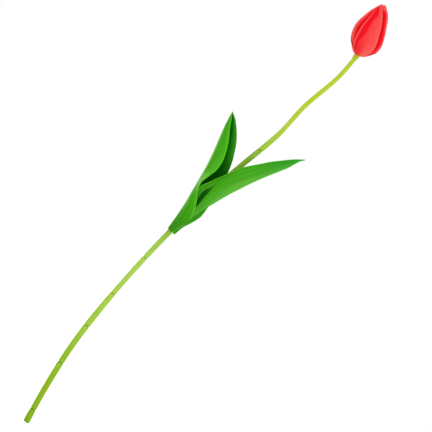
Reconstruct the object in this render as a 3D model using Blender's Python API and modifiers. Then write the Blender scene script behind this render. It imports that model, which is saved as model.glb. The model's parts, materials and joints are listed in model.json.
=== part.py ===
"""Artificial tulip: moulded stem sleeves on a steel wire, two clasping leaves, a closed bud.

Units are metres, +Z is up and +X is to the right seen from the front, where -Y faces the viewer.
The origin is the centre of the flat foot face. Each moving body hangs on an empty on its hinge.
"""
import math

import bmesh
import bpy
import numpy as np
from mathutils import Matrix, Vector

MM = 0.001

# Stem: lengths along its centreline and the lean of the centreline at each node, in degrees
FOOT_CAP_LENGTH = 12.4 * MM
SLEEVE_LENGTHS = [46.3 * MM, 38.5 * MM, 35.4 * MM, 41.1 * MM, 44.7 * MM, 44.7 * MM, 45.5 * MM]
UPPER_STEM_LENGTH = 111.6 * MM
COLLAR_LENGTH = 4.4 * MM
NODE_LEANS = [-12.4, -11.7, -8.4, -2.6, 0.1, 2.1, 4.5, 8.0, 10.7]
UPPER_LEANS = [9.5, 6.8, 1.4, 0.2, 2.4, 7.7, 10.2, 10.2, 7.4, 2.2, -1.7, -2.7]

# Stem: outer radii. A sleeve has one just above its lower node and one at its upper bead
FOOT_RADIUS = 2.85 * MM
FOOT_BEAD_RADIUS = 2.75 * MM
SLEEVE_LOW_RADII = [2.65 * MM, 2.70 * MM, 2.90 * MM, 2.45 * MM, 2.20 * MM, 2.25 * MM, 2.30 * MM]
SLEEVE_BEAD_RADII = [2.85 * MM, 2.90 * MM, 2.65 * MM, 2.30 * MM, 2.50 * MM, 2.35 * MM, 2.40 * MM]
UPPER_RADII = [2.35 * MM, 2.28 * MM, 2.00 * MM, 2.00 * MM, 2.02 * MM, 1.98 * MM, 1.90 * MM, 1.90 * MM]
UPPER_END_RADIUS = 1.85 * MM
COLLAR_TOP_RADIUS = 2.50 * MM

# Nodes: the ball end of each sleeve sits in the cup at the top of the sleeve below it
CUP_WALL = 0.40 * MM
CUP_CLEARANCE = 0.28 * MM
BEAD_HEIGHT = 0.12 * MM
BEAD_LENGTH = 2.6 * MM
EDGE_ROUND = 0.25 * MM
STEM_BEND_LIMIT = 15.0
NECK_BEND_LIMIT = 20.0
TILT_CLEARANCE = 0.12 * MM
BALL_END_ANGLE = 50.0

# Neck: the upper stem ends in a ball, and the collar is a socket over it with a rim above its middle
NECK_BALL_RADIUS = 1.75 * MM
NECK_TAPER = 1.6 * MM
SOCKET_CLEARANCE = 0.20 * MM
SOCKET_WALL = 0.42 * MM
SOCKET_RIM_ANGLE = 8.0
SOCKET_RADIUS = NECK_BALL_RADIUS + SOCKET_CLEARANCE
NECK_WIRE_SHARE = 0.6

# Wire core and its bore
WIRE_RADIUS = 0.50 * MM
BORE_CLEARANCE = 0.25 * MM
FOOT_FLOOR = 2.0 * MM
WIRE_IN_BUD = 26.0 * MM
WIRE_START_SHARE = 0.6

# Bud: the axis leans over from the end of the stem
BUD_LENGTH = 48.9 * MM
BUD_RADIUS = 14.1 * MM
BUD_SEAT_RADIUS = 2.75 * MM
BUD_SEAT_GAP = 0.75 * MM
BUD_LEAN = -12.4
BELLY_SHIFT = 1.15 * MM
BELLY_SHARE = 0.48
BELLY_POWER = 0.7
PETAL_THICKNESS = 0.8 * MM
PETAL_GAP = 0.35 * MM
CORE_GAP = 1.1 * MM
INNER_PETAL_HALF_ANGLE = 57.0
INNER_PETAL_REACH = 0.975
INNER_TIP_POWER = 9
CORE_START = 0.08
CORE_REACH = 0.86
CORE_CROWN = 1.0 * MM
RECEPTACLE_HEIGHT = 2.6 * MM
CORE_FLOOR = RECEPTACLE_HEIGHT + PETAL_GAP
CORE_FOOT_SHARE = 0.55

# Outline of the closed bud above its seat: shares of its length and of its greatest radius
BUD_OUTLINE = [
    (0.025, 0.37), (0.10, 0.65), (0.165, 0.82), (0.25, 0.935), (0.37, 1.00),
    (0.45, 0.98), (0.55, 0.91), (0.675, 0.77), (0.80, 0.60), (0.88, 0.44), (0.95, 0.25), (1.00, 0.10),
]

# Half of the angle that an outer petal covers round the bud, in degrees, at shares of its outline
OUTER_HALF_ANGLES = [
    (0.00, 57.0), (0.14, 57.0), (0.25, 49.0), (0.32, 45.0), (0.41, 40.0), (0.51, 38.0),
    (0.63, 35.0), (0.72, 31.5), (0.80, 30.5), (0.92, 26.0), (1.00, 0.0),
]

# An outer petal's middle angle, and what its left and right margins keep of the half angle. The
# side petals are cut back towards the front, so that there the inner petals show
OUTER_PETALS = {
    "outer_petal_front": (0.0, 1.0, 1.0),
    "outer_petal_left": (-120.0, 1.0, 0.55),
    "outer_petal_right": (120.0, 0.55, 1.0),
}
CUT_BACK_FROM = 0.06
CUT_BACK_TO = 0.30

# The closed bud twists at its tip: the petals turn by an angle that grows as a power of the height
TIP_TWIST = -58.0
TWIST_START = 0.5
TWIST_POWER = 3.5

# An inner petal rises to the outline between the outer petals: how far, and over what distance
INNER_PETALS = {"inner_petal_left": -60.0, "inner_petal_right": 60.0, "inner_petal_back": 180.0}
INNER_RISE = 0.95 * MM
RISE_START = 1.1 * MM
RISE_LENGTH = 2.4 * MM

# Leaves: points from the foot of the sheath, as (sideways, depth, height) in millimetres. Each
# curve starts from where it lies against the stem, or against the other leaf, plus a seat gap
LEAF_THICKNESS = 0.8 * MM
LEAF_SEAT_GAP = 0.25 * MM
LEAF_LAYER_GAP = 0.45 * MM
SHEATH_HEIGHT_ABOVE_NODE = 32.0 * MM
LEAF_AXIS_LEAN = 5.3
OUTER_FOLD = [
    (0.2, 0.0, 0), (-1.95, 0.0, 12), (-4.5, 0.2, 24), (-7.8, 0.4, 35.4), (-11.0, 0.6, 46.9),
    (-14.25, 1.0, 58.3), (-19.4, 1.4, 72.7), (-25.1, 1.8, 86.5), (-30.0, 2.0, 99.0), (-33.05, 2.0, 109.0),
]
OUTER_NEAR_EDGE = [
    (1.8, 0.0, 0), (3.1, -0.6, 9), (5.2, -1.1, 17), (3.2, -1.7, 24.5), (-2.5, -2.4, 33.6),
    (-8.9, -3.1, 41.6), (-11.3, -3.6, 47.5), (-10.6, -4.2, 56), (-9.8, -4.4, 63.3), (-11.0, -4.0, 71.4),
    (-14.3, -3.0, 79.1), (-20.2, -1.2, 88.5), (-28.1, 1.6, 97.9), (-32.8, 3.8, 104.2), (-36.6, 6.55, 109.0),
]
OUTER_FAR_EDGE = [
    (4.6, 0.7, 0), (5.4, 1.1, 10), (7.7, 1.6, 18), (9.3, 2.1, 26), (7.9, 2.7, 37),
    (6.6, 3.5, 48), (3.4, 4.1, 58), (-1.5, 4.3, 70), (-5.4, 4.1, 78.4), (-10.6, 3.5, 86.8),
    (-16.3, 2.5, 94.5), (-23.8, 0.9, 101.6), (-30.9, -0.4, 106.7), (-36.6, -1.3, 109.0),
]
INNER_FOLD = [
    (1.75, 0.0, 5), (1.95, 0.0, 15), (1.35, -0.1, 25), (0.55, -0.3, 33), (-0.15, -0.7, 41),
    (-0.65, -1.2, 48), (-0.8, -1.8, 56), (0.6, -2.3, 63), (3.8, -3.0, 72), (9.7, -3.9, 83.5),
    (16.7, -5.0, 95.5), (23.7, -6.1, 107), (30.2, -7.2, 116), (36.5, -8.2, 124.0),
]
INNER_LEFT_EDGE = [
    (0.0, -0.1, 5), (-1.8, -0.3, 15), (-3.8, -0.7, 25), (-6.7, -1.7, 36), (-9.3, -3.1, 45.5),
    (-7.0, -4.1, 52), (-4.5, -4.7, 59), (-1.8, -5.1, 66), (5.1, -5.7, 83.2), (12.4, -6.1, 94.4),
    (17.1, -6.4, 101.8), (22.4, -6.8, 108.6), (27.7, -7.3, 115.3), (33.6, -8.0, 121.6), (36.5, -8.2, 124.0),
]
INNER_RIGHT_EDGE = [
    (3.5, -0.1, 5), (5.0, -0.6, 17), (5.3, -0.9, 25), (6.9, -1.5, 34.3), (8.9, -2.0, 42.4),
    (11.0, -2.4, 51.5), (15.6, -3.0, 67.7), (18.5, -3.6, 76.8), (23.3, -4.6, 90.0), (28.6, -5.7, 102.8),
    (31.8, -6.6, 111.4), (32.9, -7.1, 116.4), (34.3, -7.7, 120.9), (36.5, -8.2, 124.0),
]
INNER_LEAF_FLEX_HEIGHT = 5.0 * MM

# How a blade curves from its fold to its edge: a power of the share of the way across
CHANNEL_POWER = 1.3
FOLD_POWER = 0.65

# Bodies of the stem, and the node that each one turns at, counted from the foot cap's node 0
STEM_BODIES = [("stem_2", 1), ("stem_3", 2), ("stem_4", 3), ("stem_mid", 4), ("upper_stem_body", 7)]
LEAF_BODY = "stem_mid"

# Fineness of the solids
TURN_STEPS = 12
PETAL_GRID = (8, 12)
INNER_PETAL_GRID = (12, 12)
LEAF_GRID = (10, 26)
STATION_SPACING = 15.0 * MM
WAVY_SPACING = 7.0 * MM
ARC_POINTS = 4
CORE_RINGS = 10
PETAL_ROW_POWER = 1.35
SHARP_ANGLE = 35.0
MERGE_DISTANCE = 1e-6
CENTRELINE_SAMPLES = 2001
OUTLINE_STEP = 0.01


def clear_scene():
    for obj in list(bpy.data.objects):
        bpy.data.objects.remove(obj)


def make_material(name, colour, roughness, metallic=0.0):
    material = bpy.data.materials.new(name)
    material.use_nodes = True
    shader = material.node_tree.nodes["Principled BSDF"]
    shader.inputs["Base Color"].default_value = (*colour, 1.0)
    shader.inputs["Roughness"].default_value = roughness
    shader.inputs["Metallic"].default_value = metallic
    return material


def smooth_curve(points, shares):
    """Points on a Catmull-Rom curve through the given points, at shares of its length."""
    knots = np.array(points, float)
    steps = np.linalg.norm(np.diff(knots, axis=0), axis=1)
    travel = np.concatenate([[0.0], np.cumsum(steps)])
    slopes = np.gradient(knots, travel, axis=0)
    places = np.asarray(shares) * travel[-1]
    index = np.clip(np.searchsorted(travel, places, side="right") - 1, 0, len(steps) - 1)
    span = steps[index][:, None]
    t = ((places - travel[index])[:, None]) / span
    start_weight = 2 * t**3 - 3 * t**2 + 1
    curve = start_weight * knots[index] + (1 - start_weight) * knots[index + 1]
    curve += (t**3 - 2 * t**2 + t) * span * slopes[index]
    curve += (t**3 - t**2) * span * slopes[index + 1]
    return curve


class Stem:
    """The centreline of the stem: where it runs, and which way it leans, at a distance from the foot."""

    def __init__(self):
        self.nodes = np.cumsum([FOOT_CAP_LENGTH] + SLEEVE_LENGTHS)
        upper = UPPER_STEM_LENGTH + COLLAR_LENGTH
        self.neck = self.nodes[-1] + UPPER_STEM_LENGTH
        self.end = self.nodes[-1] + upper
        waves = self.nodes[-1] + upper * np.arange(1, len(UPPER_LEANS) + 1) / len(UPPER_LEANS)
        self.lean_places = np.concatenate([[0.0], self.nodes, waves])
        self.leans = np.radians(NODE_LEANS + UPPER_LEANS)
        self.travel = np.linspace(0.0, self.end, CENTRELINE_SAMPLES)
        angle = np.interp(self.travel, self.lean_places, self.leans)
        middle = (angle[1:] + angle[:-1]) / 2
        step = self.travel[1]
        self.x = np.concatenate([[0.0], np.cumsum(np.sin(middle) * step)])
        self.z = np.concatenate([[0.0], np.cumsum(np.cos(middle) * step)])

    def lean(self, distance):
        return float(np.interp(distance, self.lean_places, self.leans))

    def point(self, distance):
        lean = self.lean(distance)
        past = distance - min(max(distance, 0.0), self.end)
        x = np.interp(distance, self.travel, self.x) + past * math.sin(lean)
        z = np.interp(distance, self.travel, self.z) + past * math.cos(lean)
        return Vector((x, 0.0, z))

    def side(self, distance):
        lean = self.lean(distance)
        return Vector((math.cos(lean), 0.0, -math.sin(lean)))

    def carry(self, mesh, start):
        """Bend a mesh that was made straight along Z onto the centreline."""
        for vertex in mesh.vertices:
            distance = start + vertex.co.z
            bent = self.point(distance) + self.side(distance) * vertex.co.x
            vertex.co = bent + Vector((0.0, vertex.co.y, 0.0))


def turned_mesh(name, profile, closed=True):
    """A Screw of a profile of (radius, height) points that run down the outer side."""
    build = bmesh.new()
    verts = [build.verts.new((radius, 0.0, height)) for radius, height in profile]
    pairs = list(zip(verts, verts[1:]))
    if closed:
        pairs.append((verts[-1], verts[0]))
    for pair in pairs:
        build.edges.new(pair)
    outline = bpy.data.meshes.new(name + "_profile")
    build.to_mesh(outline)
    build.free()
    carrier = bpy.data.objects.new(name + "_profile", outline)
    bpy.context.scene.collection.objects.link(carrier)
    screw = carrier.modifiers.new("Turn", "SCREW")
    screw.steps = screw.render_steps = TURN_STEPS
    screw.use_merge_vertices = True
    screw.merge_threshold = MERGE_DISTANCE
    graph = bpy.context.evaluated_depsgraph_get()
    mesh = bpy.data.meshes.new_from_object(carrier.evaluated_get(graph))
    bpy.data.objects.remove(carrier)
    mesh.name = name
    return mesh


class Assembly:
    """The object's collection, its hinge empties, and the parts that hang on them."""

    def __init__(self, name):
        self.collection = bpy.data.collections.new(name)
        bpy.context.scene.collection.children.link(self.collection)
        self.places = {}
        self.empties = {}

    def add_body(self, name, place, parent=None):
        empty = bpy.data.objects.new(name, None)
        empty.empty_display_size = 5 * MM
        self.collection.objects.link(empty)
        empty.location = place
        if parent:
            empty.parent = self.empties[parent]
            empty.location = place - self.places[parent]
        self.places[name] = place
        self.empties[name] = empty

    def add_part(self, mesh, body, material):
        """Hang a mesh that is in world coordinates on a body, with its origin on the body's hinge."""
        mesh.transform(Matrix.Translation(-self.places[body]))
        mesh.materials.clear()
        mesh.materials.append(material)
        mesh.shade_smooth()
        mesh.set_sharp_from_angle(angle=math.radians(SHARP_ANGLE))
        part = bpy.data.objects.new(mesh.name, mesh)
        self.collection.objects.link(part)
        part.parent = self.empties[body]


def cup_radius(rim_radius):
    return rim_radius - CUP_WALL


def ball_radius(rim_radius):
    return cup_radius(rim_radius) - CUP_CLEARANCE


def bore_radius():
    return WIRE_RADIUS + BORE_CLEARANCE


def arc(radius, start_degrees, end_degrees, height=0.0):
    """Points of an arc whose centre is on the axis at a height, as (radius, height)."""
    angles = np.radians(np.linspace(start_degrees, end_degrees, ARC_POINTS))
    return [(radius * math.cos(a), height + radius * math.sin(a)) for a in angles]


def bead_top(rim_radius, length):
    """The rounded bead round a cup's rim, down its outer side."""
    body = rim_radius - BEAD_HEIGHT
    return [
        (rim_radius - EDGE_ROUND, length),
        (rim_radius, length - EDGE_ROUND),
        (rim_radius, length - BEAD_LENGTH / 2),
        (body, length - BEAD_LENGTH),
    ]


def shoulder_and_ball(low_radius, ball):
    """From the body down over the shoulder and round the ball that sits in the cup below."""
    tilt = math.radians(STEM_BEND_LIMIT)
    rise = (TILT_CLEARANCE + low_radius * math.sin(tilt)) / math.cos(tilt)
    shoulder = [(low_radius, rise + 2 * EDGE_ROUND), (low_radius - EDGE_ROUND, rise)]
    return shoulder + arc(ball, STEM_BEND_LIMIT, -BALL_END_ANGLE)


def cup_inside(rim_radius, length):
    """From the bore up round the cup to its rim."""
    cup = cup_radius(rim_radius)
    bottom = -math.degrees(math.acos(bore_radius() / cup))
    return arc(cup, bottom, 0.0, length)


def neck_ball(length):
    """The ball on top of the upper stem, from the bore down its outer side to the body."""
    top = math.degrees(math.acos(bore_radius() / NECK_BALL_RADIUS))
    straight = [(NECK_BALL_RADIUS, length - NECK_TAPER / 2), (UPPER_END_RADIUS, length - NECK_TAPER)]
    return arc(NECK_BALL_RADIUS, top, 0.0, length) + straight


def stations(low, high, spacing):
    """Heights strictly between two ends, evenly spaced, from the lower one up."""
    count = max(1, round((high - low) / spacing))
    return list(np.linspace(low, high, count + 1)[1:-1])


def sleeve_mesh(name, radii, ball, upper, inside, spacing):
    """A hollow sleeve from its lower hinge, at height 0. Its upper end and what is in it are given."""
    length = upper[0][1]
    lower = shoulder_and_ball(radii[0], ball)
    bore = bore_radius()
    heights = stations(lower[0][1], upper[-1][1], spacing)
    body_radii = np.append(radii, upper[-1][0])
    widths = np.interp(heights, np.linspace(0, length, len(body_radii)), body_radii)
    outer_side = list(zip(widths, heights))[::-1]
    bore_side = [(bore, height) for height in heights]
    ball_floor = [(bore, lower[-1][1])]
    return turned_mesh(name, upper + outer_side + lower + ball_floor + bore_side + inside)


def foot_cap_mesh(name, length):
    """The end cap: a flat foot with a rounded edge, a blind bore and a cup on top."""
    bore = bore_radius()
    edge = 3 * EDGE_ROUND
    foot = [(FOOT_RADIUS, edge + EDGE_ROUND)]
    foot += [(FOOT_RADIUS - edge + x, edge - z) for x, z in arc(edge, 0.0, 90.0)]
    foot.append((0.0, 0.0))
    inside = [(0.0, FOOT_FLOOR), (bore, FOOT_FLOOR)] + cup_inside(FOOT_BEAD_RADIUS, length)
    return turned_mesh(name, inside + bead_top(FOOT_BEAD_RADIUS, length) + foot, closed=False)


def collar_mesh(name):
    """The flared collar that carries the bud, with the socket over the neck's ball at its foot."""
    bore = bore_radius()
    roof = math.degrees(math.acos(bore / SOCKET_RADIUS))
    socket = arc(SOCKET_RADIUS, SOCKET_RIM_ANGLE, roof)
    rim_height = socket[0][1]
    outer_side = [
        (COLLAR_TOP_RADIUS - EDGE_ROUND, COLLAR_LENGTH),
        (COLLAR_TOP_RADIUS, COLLAR_LENGTH - EDGE_ROUND),
        (SOCKET_RADIUS + SOCKET_WALL, rim_height + EDGE_ROUND),
        (SOCKET_RADIUS + SOCKET_WALL - EDGE_ROUND, rim_height),
    ]
    return turned_mesh(name, outer_side + socket + [(bore, COLLAR_LENGTH)])


def wire_mesh(name, points):
    """A POLY curve with a round bevel and filled caps, made into a closed mesh."""
    curve = bpy.data.curves.new(name + "_path", "CURVE")
    curve.dimensions = "3D"
    curve.bevel_depth = WIRE_RADIUS
    curve.bevel_resolution = 1
    curve.use_fill_caps = True
    spline = curve.splines.new("POLY")
    spline.points.add(len(points) - 1)
    for target, point in zip(spline.points, points):
        target.co = (*point, 1.0)
    carrier = bpy.data.objects.new(name + "_path", curve)
    bpy.context.scene.collection.objects.link(carrier)
    graph = bpy.context.evaluated_depsgraph_get()
    mesh = bpy.data.meshes.new_from_object(carrier.evaluated_get(graph))
    bpy.data.objects.remove(carrier)
    build = bmesh.new()
    build.from_mesh(mesh)
    bmesh.ops.remove_doubles(build, verts=build.verts, dist=MERGE_DISTANCE)
    bmesh.ops.recalc_face_normals(build, faces=build.faces)
    build.to_mesh(mesh)
    build.free()
    mesh.name = name
    return mesh


def shell_mesh(name, columns, rows, place, thickness):
    """A grid bent into an open surface by a function, with Solidify behind it."""
    build = bmesh.new()
    bmesh.ops.create_grid(build, x_segments=columns, y_segments=rows, size=1.0)
    for vertex in build.verts:
        vertex.co = place(vertex.co.x, (vertex.co.y + 1) / 2)
    bmesh.ops.remove_doubles(build, verts=build.verts, dist=MERGE_DISTANCE)
    surface = bpy.data.meshes.new(name + "_sheet")
    build.to_mesh(surface)
    build.free()
    carrier = bpy.data.objects.new(name + "_sheet", surface)
    bpy.context.scene.collection.objects.link(carrier)
    wall = carrier.modifiers.new("Wall", "SOLIDIFY")
    wall.thickness = thickness
    wall.offset = -1.0
    graph = bpy.context.evaluated_depsgraph_get()
    mesh = bpy.data.meshes.new_from_object(carrier.evaluated_get(graph))
    bpy.data.objects.remove(carrier)
    mesh.name = name
    return mesh


class Bud:
    """The closed bud: its axis leans from the end of the stem, and its belly sits off that axis."""

    def __init__(self, stem):
        lean = math.radians(BUD_LEAN)
        self.up = Vector((math.sin(lean), 0.0, math.cos(lean)))
        self.right = Vector((math.cos(lean), 0.0, -math.sin(lean)))
        self.back = Vector((0.0, 1.0, 0.0))
        self.seat = stem.point(stem.end + BUD_SEAT_GAP)

    def outline(self, share, inset):
        """Radius and height of the outline at a share of its length, moved inwards by an inset."""
        real = [(0.0, BUD_SEAT_RADIUS)] + [(h * BUD_LENGTH, r * BUD_RADIUS) for h, r in BUD_OUTLINE]
        above = min(share + OUTLINE_STEP, 1.0)
        below = max(share - OUTLINE_STEP, 0.0)
        ahead, here, behind = smooth_curve(real, [above, share, below])
        along = (ahead - behind) / np.linalg.norm(ahead - behind)
        return here[1] - inset * along[0], here[0] + inset * along[1]

    def belly(self, height):
        """How far the middle of the bud sits to the right of its axis at a height."""
        share = min(max(height / BUD_LENGTH / BELLY_SHARE, 0.0), 1.0)
        return BELLY_SHIFT * math.sin(math.pi * share**BELLY_POWER)

    def place(self, radius, angle, height):
        """A point at an angle in degrees from the front, which faces -Y, towards the right."""
        turn = math.radians(angle)
        sideways = radius * math.sin(turn) + self.belly(height)
        return self.seat + self.up * height + self.right * sideways - self.back * (radius * math.cos(turn))

    def middle(self, height):
        return self.place(0.0, 0.0, height)

    def carry(self, mesh):
        """Move a mesh that was made upright at the origin into the bud."""
        for vertex in mesh.vertices:
            x, y, z = vertex.co
            vertex.co = self.middle(z) + self.right * x + self.back * y

    def seat_point(self, angle):
        """The inner edge of a petal's foot, where the petal flexes."""
        return self.place(BUD_SEAT_RADIUS - PETAL_THICKNESS, angle, 0.0)


def smooth_step(value, low, high):
    share = min(max((value - low) / (high - low), 0.0), 1.0)
    return share * share * (3 - 2 * share)


def outer_margins(petal, share):
    """Angles of an outer petal's left and right margins at a share of the bud's outline."""
    middle, left_share, right_share = petal
    shares, angles = zip(*OUTER_HALF_ANGLES)
    half = float(np.interp(share, shares, angles))
    cut = smooth_step(share, CUT_BACK_FROM, CUT_BACK_TO)
    middle += TIP_TWIST * max((share - TWIST_START) / (1 - TWIST_START), 0.0) ** TWIST_POWER
    return middle - half * (1 - (1 - left_share) * cut), middle + half * (1 - (1 - right_share) * cut)


def outer_petal_mesh(name, bud, petal):
    """An outer petal's wall, from the seat up the outline of the bud."""
    def place(across, row):
        share = row**PETAL_ROW_POWER
        radius, height = bud.outline(share, 0.0)
        left, right = outer_margins(petal, share)
        return bud.place(radius, left + (across + 1) / 2 * (right - left), height)

    return shell_mesh(name, *PETAL_GRID, place, PETAL_THICKNESS)


def gap_beside(angle, share, radius):
    """How far inside the gap between two outer petals a point lies, along the bud's surface."""
    nearest = 360.0
    for petal in OUTER_PETALS.values():
        left, right = outer_margins(petal, share)
        middle = (left + right) / 2
        off_middle = abs((angle - middle + 180.0) % 360.0 - 180.0)
        nearest = min(nearest, off_middle - (right - left) / 2)
    return math.radians(nearest) * radius


def inner_petal_mesh(name, bud, middle, inset):
    """An inner petal's wall. It rises to the outline where no outer petal covers it."""
    def place(across, row):
        along = row**PETAL_ROW_POWER
        share = along * INNER_PETAL_REACH
        angle = middle + across * INNER_PETAL_HALF_ANGLE * math.sqrt(max(1.0 - along**INNER_TIP_POWER, 0.0))
        radius, height = bud.outline(share, inset)
        rise = INNER_RISE * smooth_step(gap_beside(angle, share, radius), RISE_START, RISE_START + RISE_LENGTH)
        return bud.place(radius + rise, angle, height)

    return shell_mesh(name, *INNER_PETAL_GRID, place, PETAL_THICKNESS)


def core_mesh(name, bud, inset):
    """The foam core: an egg inside the inner petals, with a blind bore for the wire."""
    shares = np.linspace(CORE_REACH, CORE_START, CORE_RINGS)
    side = [bud.outline(share, inset) for share in shares]
    top = [(0.0, side[0][1] + CORE_CROWN)]
    side = [(radius, height) for radius, height in side if height > CORE_FLOOR + PETAL_GAP]
    bore = bore_radius()
    bottom = [(side[-1][0] * CORE_FOOT_SHARE, CORE_FLOOR), (bore, CORE_FLOOR)]
    blind = [(bore, WIRE_IN_BUD), (0.0, WIRE_IN_BUD)]
    return turned_mesh(name, top + side + bottom + blind, closed=False)


def receptacle_mesh(name):
    """The plug that joins the petals and the core to the collar."""
    bore = bore_radius()
    outer = BUD_SEAT_RADIUS - PETAL_THICKNESS - PETAL_GAP
    inner = outer - EDGE_ROUND
    return turned_mesh(name, [
        (inner, RECEPTACLE_HEIGHT), (outer, RECEPTACLE_HEIGHT - EDGE_ROUND),
        (outer, EDGE_ROUND), (inner, 0.0), (bore, 0.0), (bore, RECEPTACLE_HEIGHT),
    ])


class LeafFrame:
    """Where the leaf outlines are measured from: the foot of the sheath, leaning with the stem."""

    def __init__(self, stem):
        lean = math.radians(LEAF_AXIS_LEAN)
        self.up = Vector((math.sin(lean), 0.0, math.cos(lean)))
        self.right = Vector((math.cos(lean), 0.0, -math.sin(lean)))
        node = dict(STEM_BODIES)[LEAF_BODY]
        self.foot = stem.point(stem.nodes[node] + SHEATH_HEIGHT_ABOVE_NODE)
        under_leaves = SLEEVE_LOW_RADII[node:] + SLEEVE_BEAD_RADII[node:-1]
        self.seat = (max(under_leaves) + LEAF_SEAT_GAP + LEAF_THICKNESS) / MM
        self.layer = (LEAF_THICKNESS + LEAF_LAYER_GAP) / MM

    def place(self, point):
        sideways, depth, height = (float(value) * MM for value in point)
        return self.foot + self.right * sideways + self.up * height + Vector((0.0, depth, 0.0))


def shifted(points, sideways, depth):
    return [(x + sideways, y + depth, z) for x, y, z in points]


def leaf_mesh(name, frame, fold, edges, roundness, wall):
    """A blade lofted from its fold line to its two edges.

    Roundness 0 is an open channel and 1 a deep fold. A positive wall lies behind the surface.
    """
    columns, rows = LEAF_GRID
    left_edge, right_edge = edges

    def place(across, along):
        middle = smooth_curve(fold, [along])[0]
        edge = smooth_curve(left_edge if across < 0 else right_edge, [along])[0]
        share = abs(across)
        turn = share * math.pi / 2
        spread = share + (1 - math.cos(turn) - share) * roundness
        channel = share**CHANNEL_POWER
        depth = channel + (math.sin(turn) ** FOLD_POWER - channel) * roundness
        return frame.place(middle + (edge - middle) * np.array([spread, depth, spread]))

    return shell_mesh(name, columns, rows, place, wall)


def add_stem_bodies(parts, stem):
    """Empties on the hinges of the stem: a chain from the foot to the neck."""
    parent = "lower_stem"
    parts.add_body(parent, stem.point(0.0))
    for body, node in STEM_BODIES:
        parts.add_body(body, stem.point(stem.nodes[node]), parent)
        parent = body
    parts.add_body("head", stem.point(stem.neck), parent)


def body_of_sleeve(index):
    turned = [body for body, node in STEM_BODIES if node <= index]
    return turned[-1] if turned else "lower_stem"


def build_stem(parts, stem, materials):
    """The foot cap, the sleeves, the smooth upper tube and the collar, each with its ball or cup."""
    mesh = foot_cap_mesh("foot_cap", FOOT_CAP_LENGTH)
    stem.carry(mesh, 0.0)
    parts.add_part(mesh, "lower_stem", materials["stem"])
    rims = [FOOT_BEAD_RADIUS] + SLEEVE_BEAD_RADII
    for index, length in enumerate(SLEEVE_LENGTHS):
        name = f"stem_sleeve_{index + 1}"
        radii = [SLEEVE_LOW_RADII[index]]
        rim = rims[index + 1]
        upper, inside = bead_top(rim, length), cup_inside(rim, length)
        mesh = sleeve_mesh(name, radii, ball_radius(rims[index]), upper, inside, STATION_SPACING)
        stem.carry(mesh, stem.nodes[index])
        parts.add_part(mesh, body_of_sleeve(index), materials["stem"])
    upper = neck_ball(UPPER_STEM_LENGTH)
    mesh = sleeve_mesh("upper_stem", UPPER_RADII, ball_radius(rims[-1]), upper, [], WAVY_SPACING)
    stem.carry(mesh, stem.nodes[-1])
    parts.add_part(mesh, "upper_stem_body", materials["upper_stem"])
    collar = collar_mesh("bud_collar")
    stem.carry(collar, stem.neck)
    parts.add_part(collar, "head", materials["calyx"])


def build_wires(parts, stem, bud, materials):
    """The wire core, in one stretch for each body. Stretches part inside the joints, so they can turn."""
    rims = [FOOT_BEAD_RADIUS] + SLEEVE_BEAD_RADII
    cups = [(stem.nodes[node], rims[node]) for _, node in STEM_BODIES]
    breaks = [(place - cup_radius(rim), place - ball_radius(rim) * WIRE_START_SHARE) for place, rim in cups]
    breaks.append((stem.neck + NECK_BALL_RADIUS * NECK_WIRE_SHARE, stem.neck + SOCKET_RADIUS))
    bodies = ["lower_stem"] + [body for body, _ in STEM_BODIES]
    start = FOOT_FLOOR + BORE_CLEARANCE
    for index, (body, (end, next_start)) in enumerate(zip(bodies, breaks)):
        spacing = WAVY_SPACING if body == bodies[-1] else STATION_SPACING
        between = stations(start, end, spacing)
        points = [stem.point(distance) for distance in [start] + between + [end]]
        parts.add_part(wire_mesh(f"wire_core_{index + 1}", points), body, materials["wire"])
        start = next_start
    points = [stem.point(start), stem.point((start + stem.end) / 2), stem.point(stem.end)]
    points += [bud.middle(height) for height in (0.0, RECEPTACLE_HEIGHT, CORE_FLOOR)]
    blind_end = bud.middle(WIRE_IN_BUD)
    points.append(blind_end + (points[-1] - blind_end).normalized() * BORE_CLEARANCE)
    parts.add_part(wire_mesh(f"wire_core_{len(bodies) + 1}", points), "head", materials["wire"])


def build_bud(parts, bud, materials):
    """The plug, the foam core, three inner petals glued to it and three outer ones that flex."""
    inner_inset = PETAL_THICKNESS + PETAL_GAP
    core_inset = inner_inset + PETAL_THICKNESS + CORE_GAP
    receptacle = receptacle_mesh("bud_receptacle")
    bud.carry(receptacle)
    parts.add_part(receptacle, "head", materials["calyx"])
    core = core_mesh("bud_foam_core", bud, core_inset)
    bud.carry(core)
    parts.add_part(core, "head", materials["foam"])
    for name, middle in INNER_PETALS.items():
        mesh = inner_petal_mesh(name, bud, middle, inner_inset)
        parts.add_part(mesh, "head", materials["petal"])
    for name, petal in OUTER_PETALS.items():
        body = name + "_body"
        parts.add_body(body, bud.seat_point(petal[0]), "head")
        parts.add_part(outer_petal_mesh(name, bud, petal), body, materials["petal"])


def build_leaves(parts, stem, materials):
    """The outer leaf folds round the stem from the left, and the inner one lies in front of it."""
    frame = LeafFrame(stem)
    inner_foot = (0.0, 0.0, INNER_LEAF_FLEX_HEIGHT / MM)
    parts.add_body("outer_leaf_body", frame.foot, LEAF_BODY)
    parts.add_body("inner_leaf_body", frame.place(inner_foot), LEAF_BODY)
    fold = shifted(OUTER_FOLD, -frame.seat, 0.0)
    near_edge = shifted(OUTER_NEAR_EDGE, 0.0, -frame.seat - frame.layer)
    far_edge = shifted(OUTER_FAR_EDGE, 0.0, frame.seat)
    outer = leaf_mesh("leaf_outer", frame, fold, (near_edge, far_edge), 1.0, -LEAF_THICKNESS)
    parts.add_part(outer, "outer_leaf_body", materials["leaf"])
    fold = shifted(INNER_FOLD, 0.0, -frame.seat)
    edges = [shifted(edge, 0.0, -frame.seat) for edge in (INNER_LEFT_EDGE, INNER_RIGHT_EDGE)]
    inner = leaf_mesh("leaf_inner", frame, fold, edges, 0.0, LEAF_THICKNESS)
    parts.add_part(inner, "inner_leaf_body", materials["leaf"])


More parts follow.
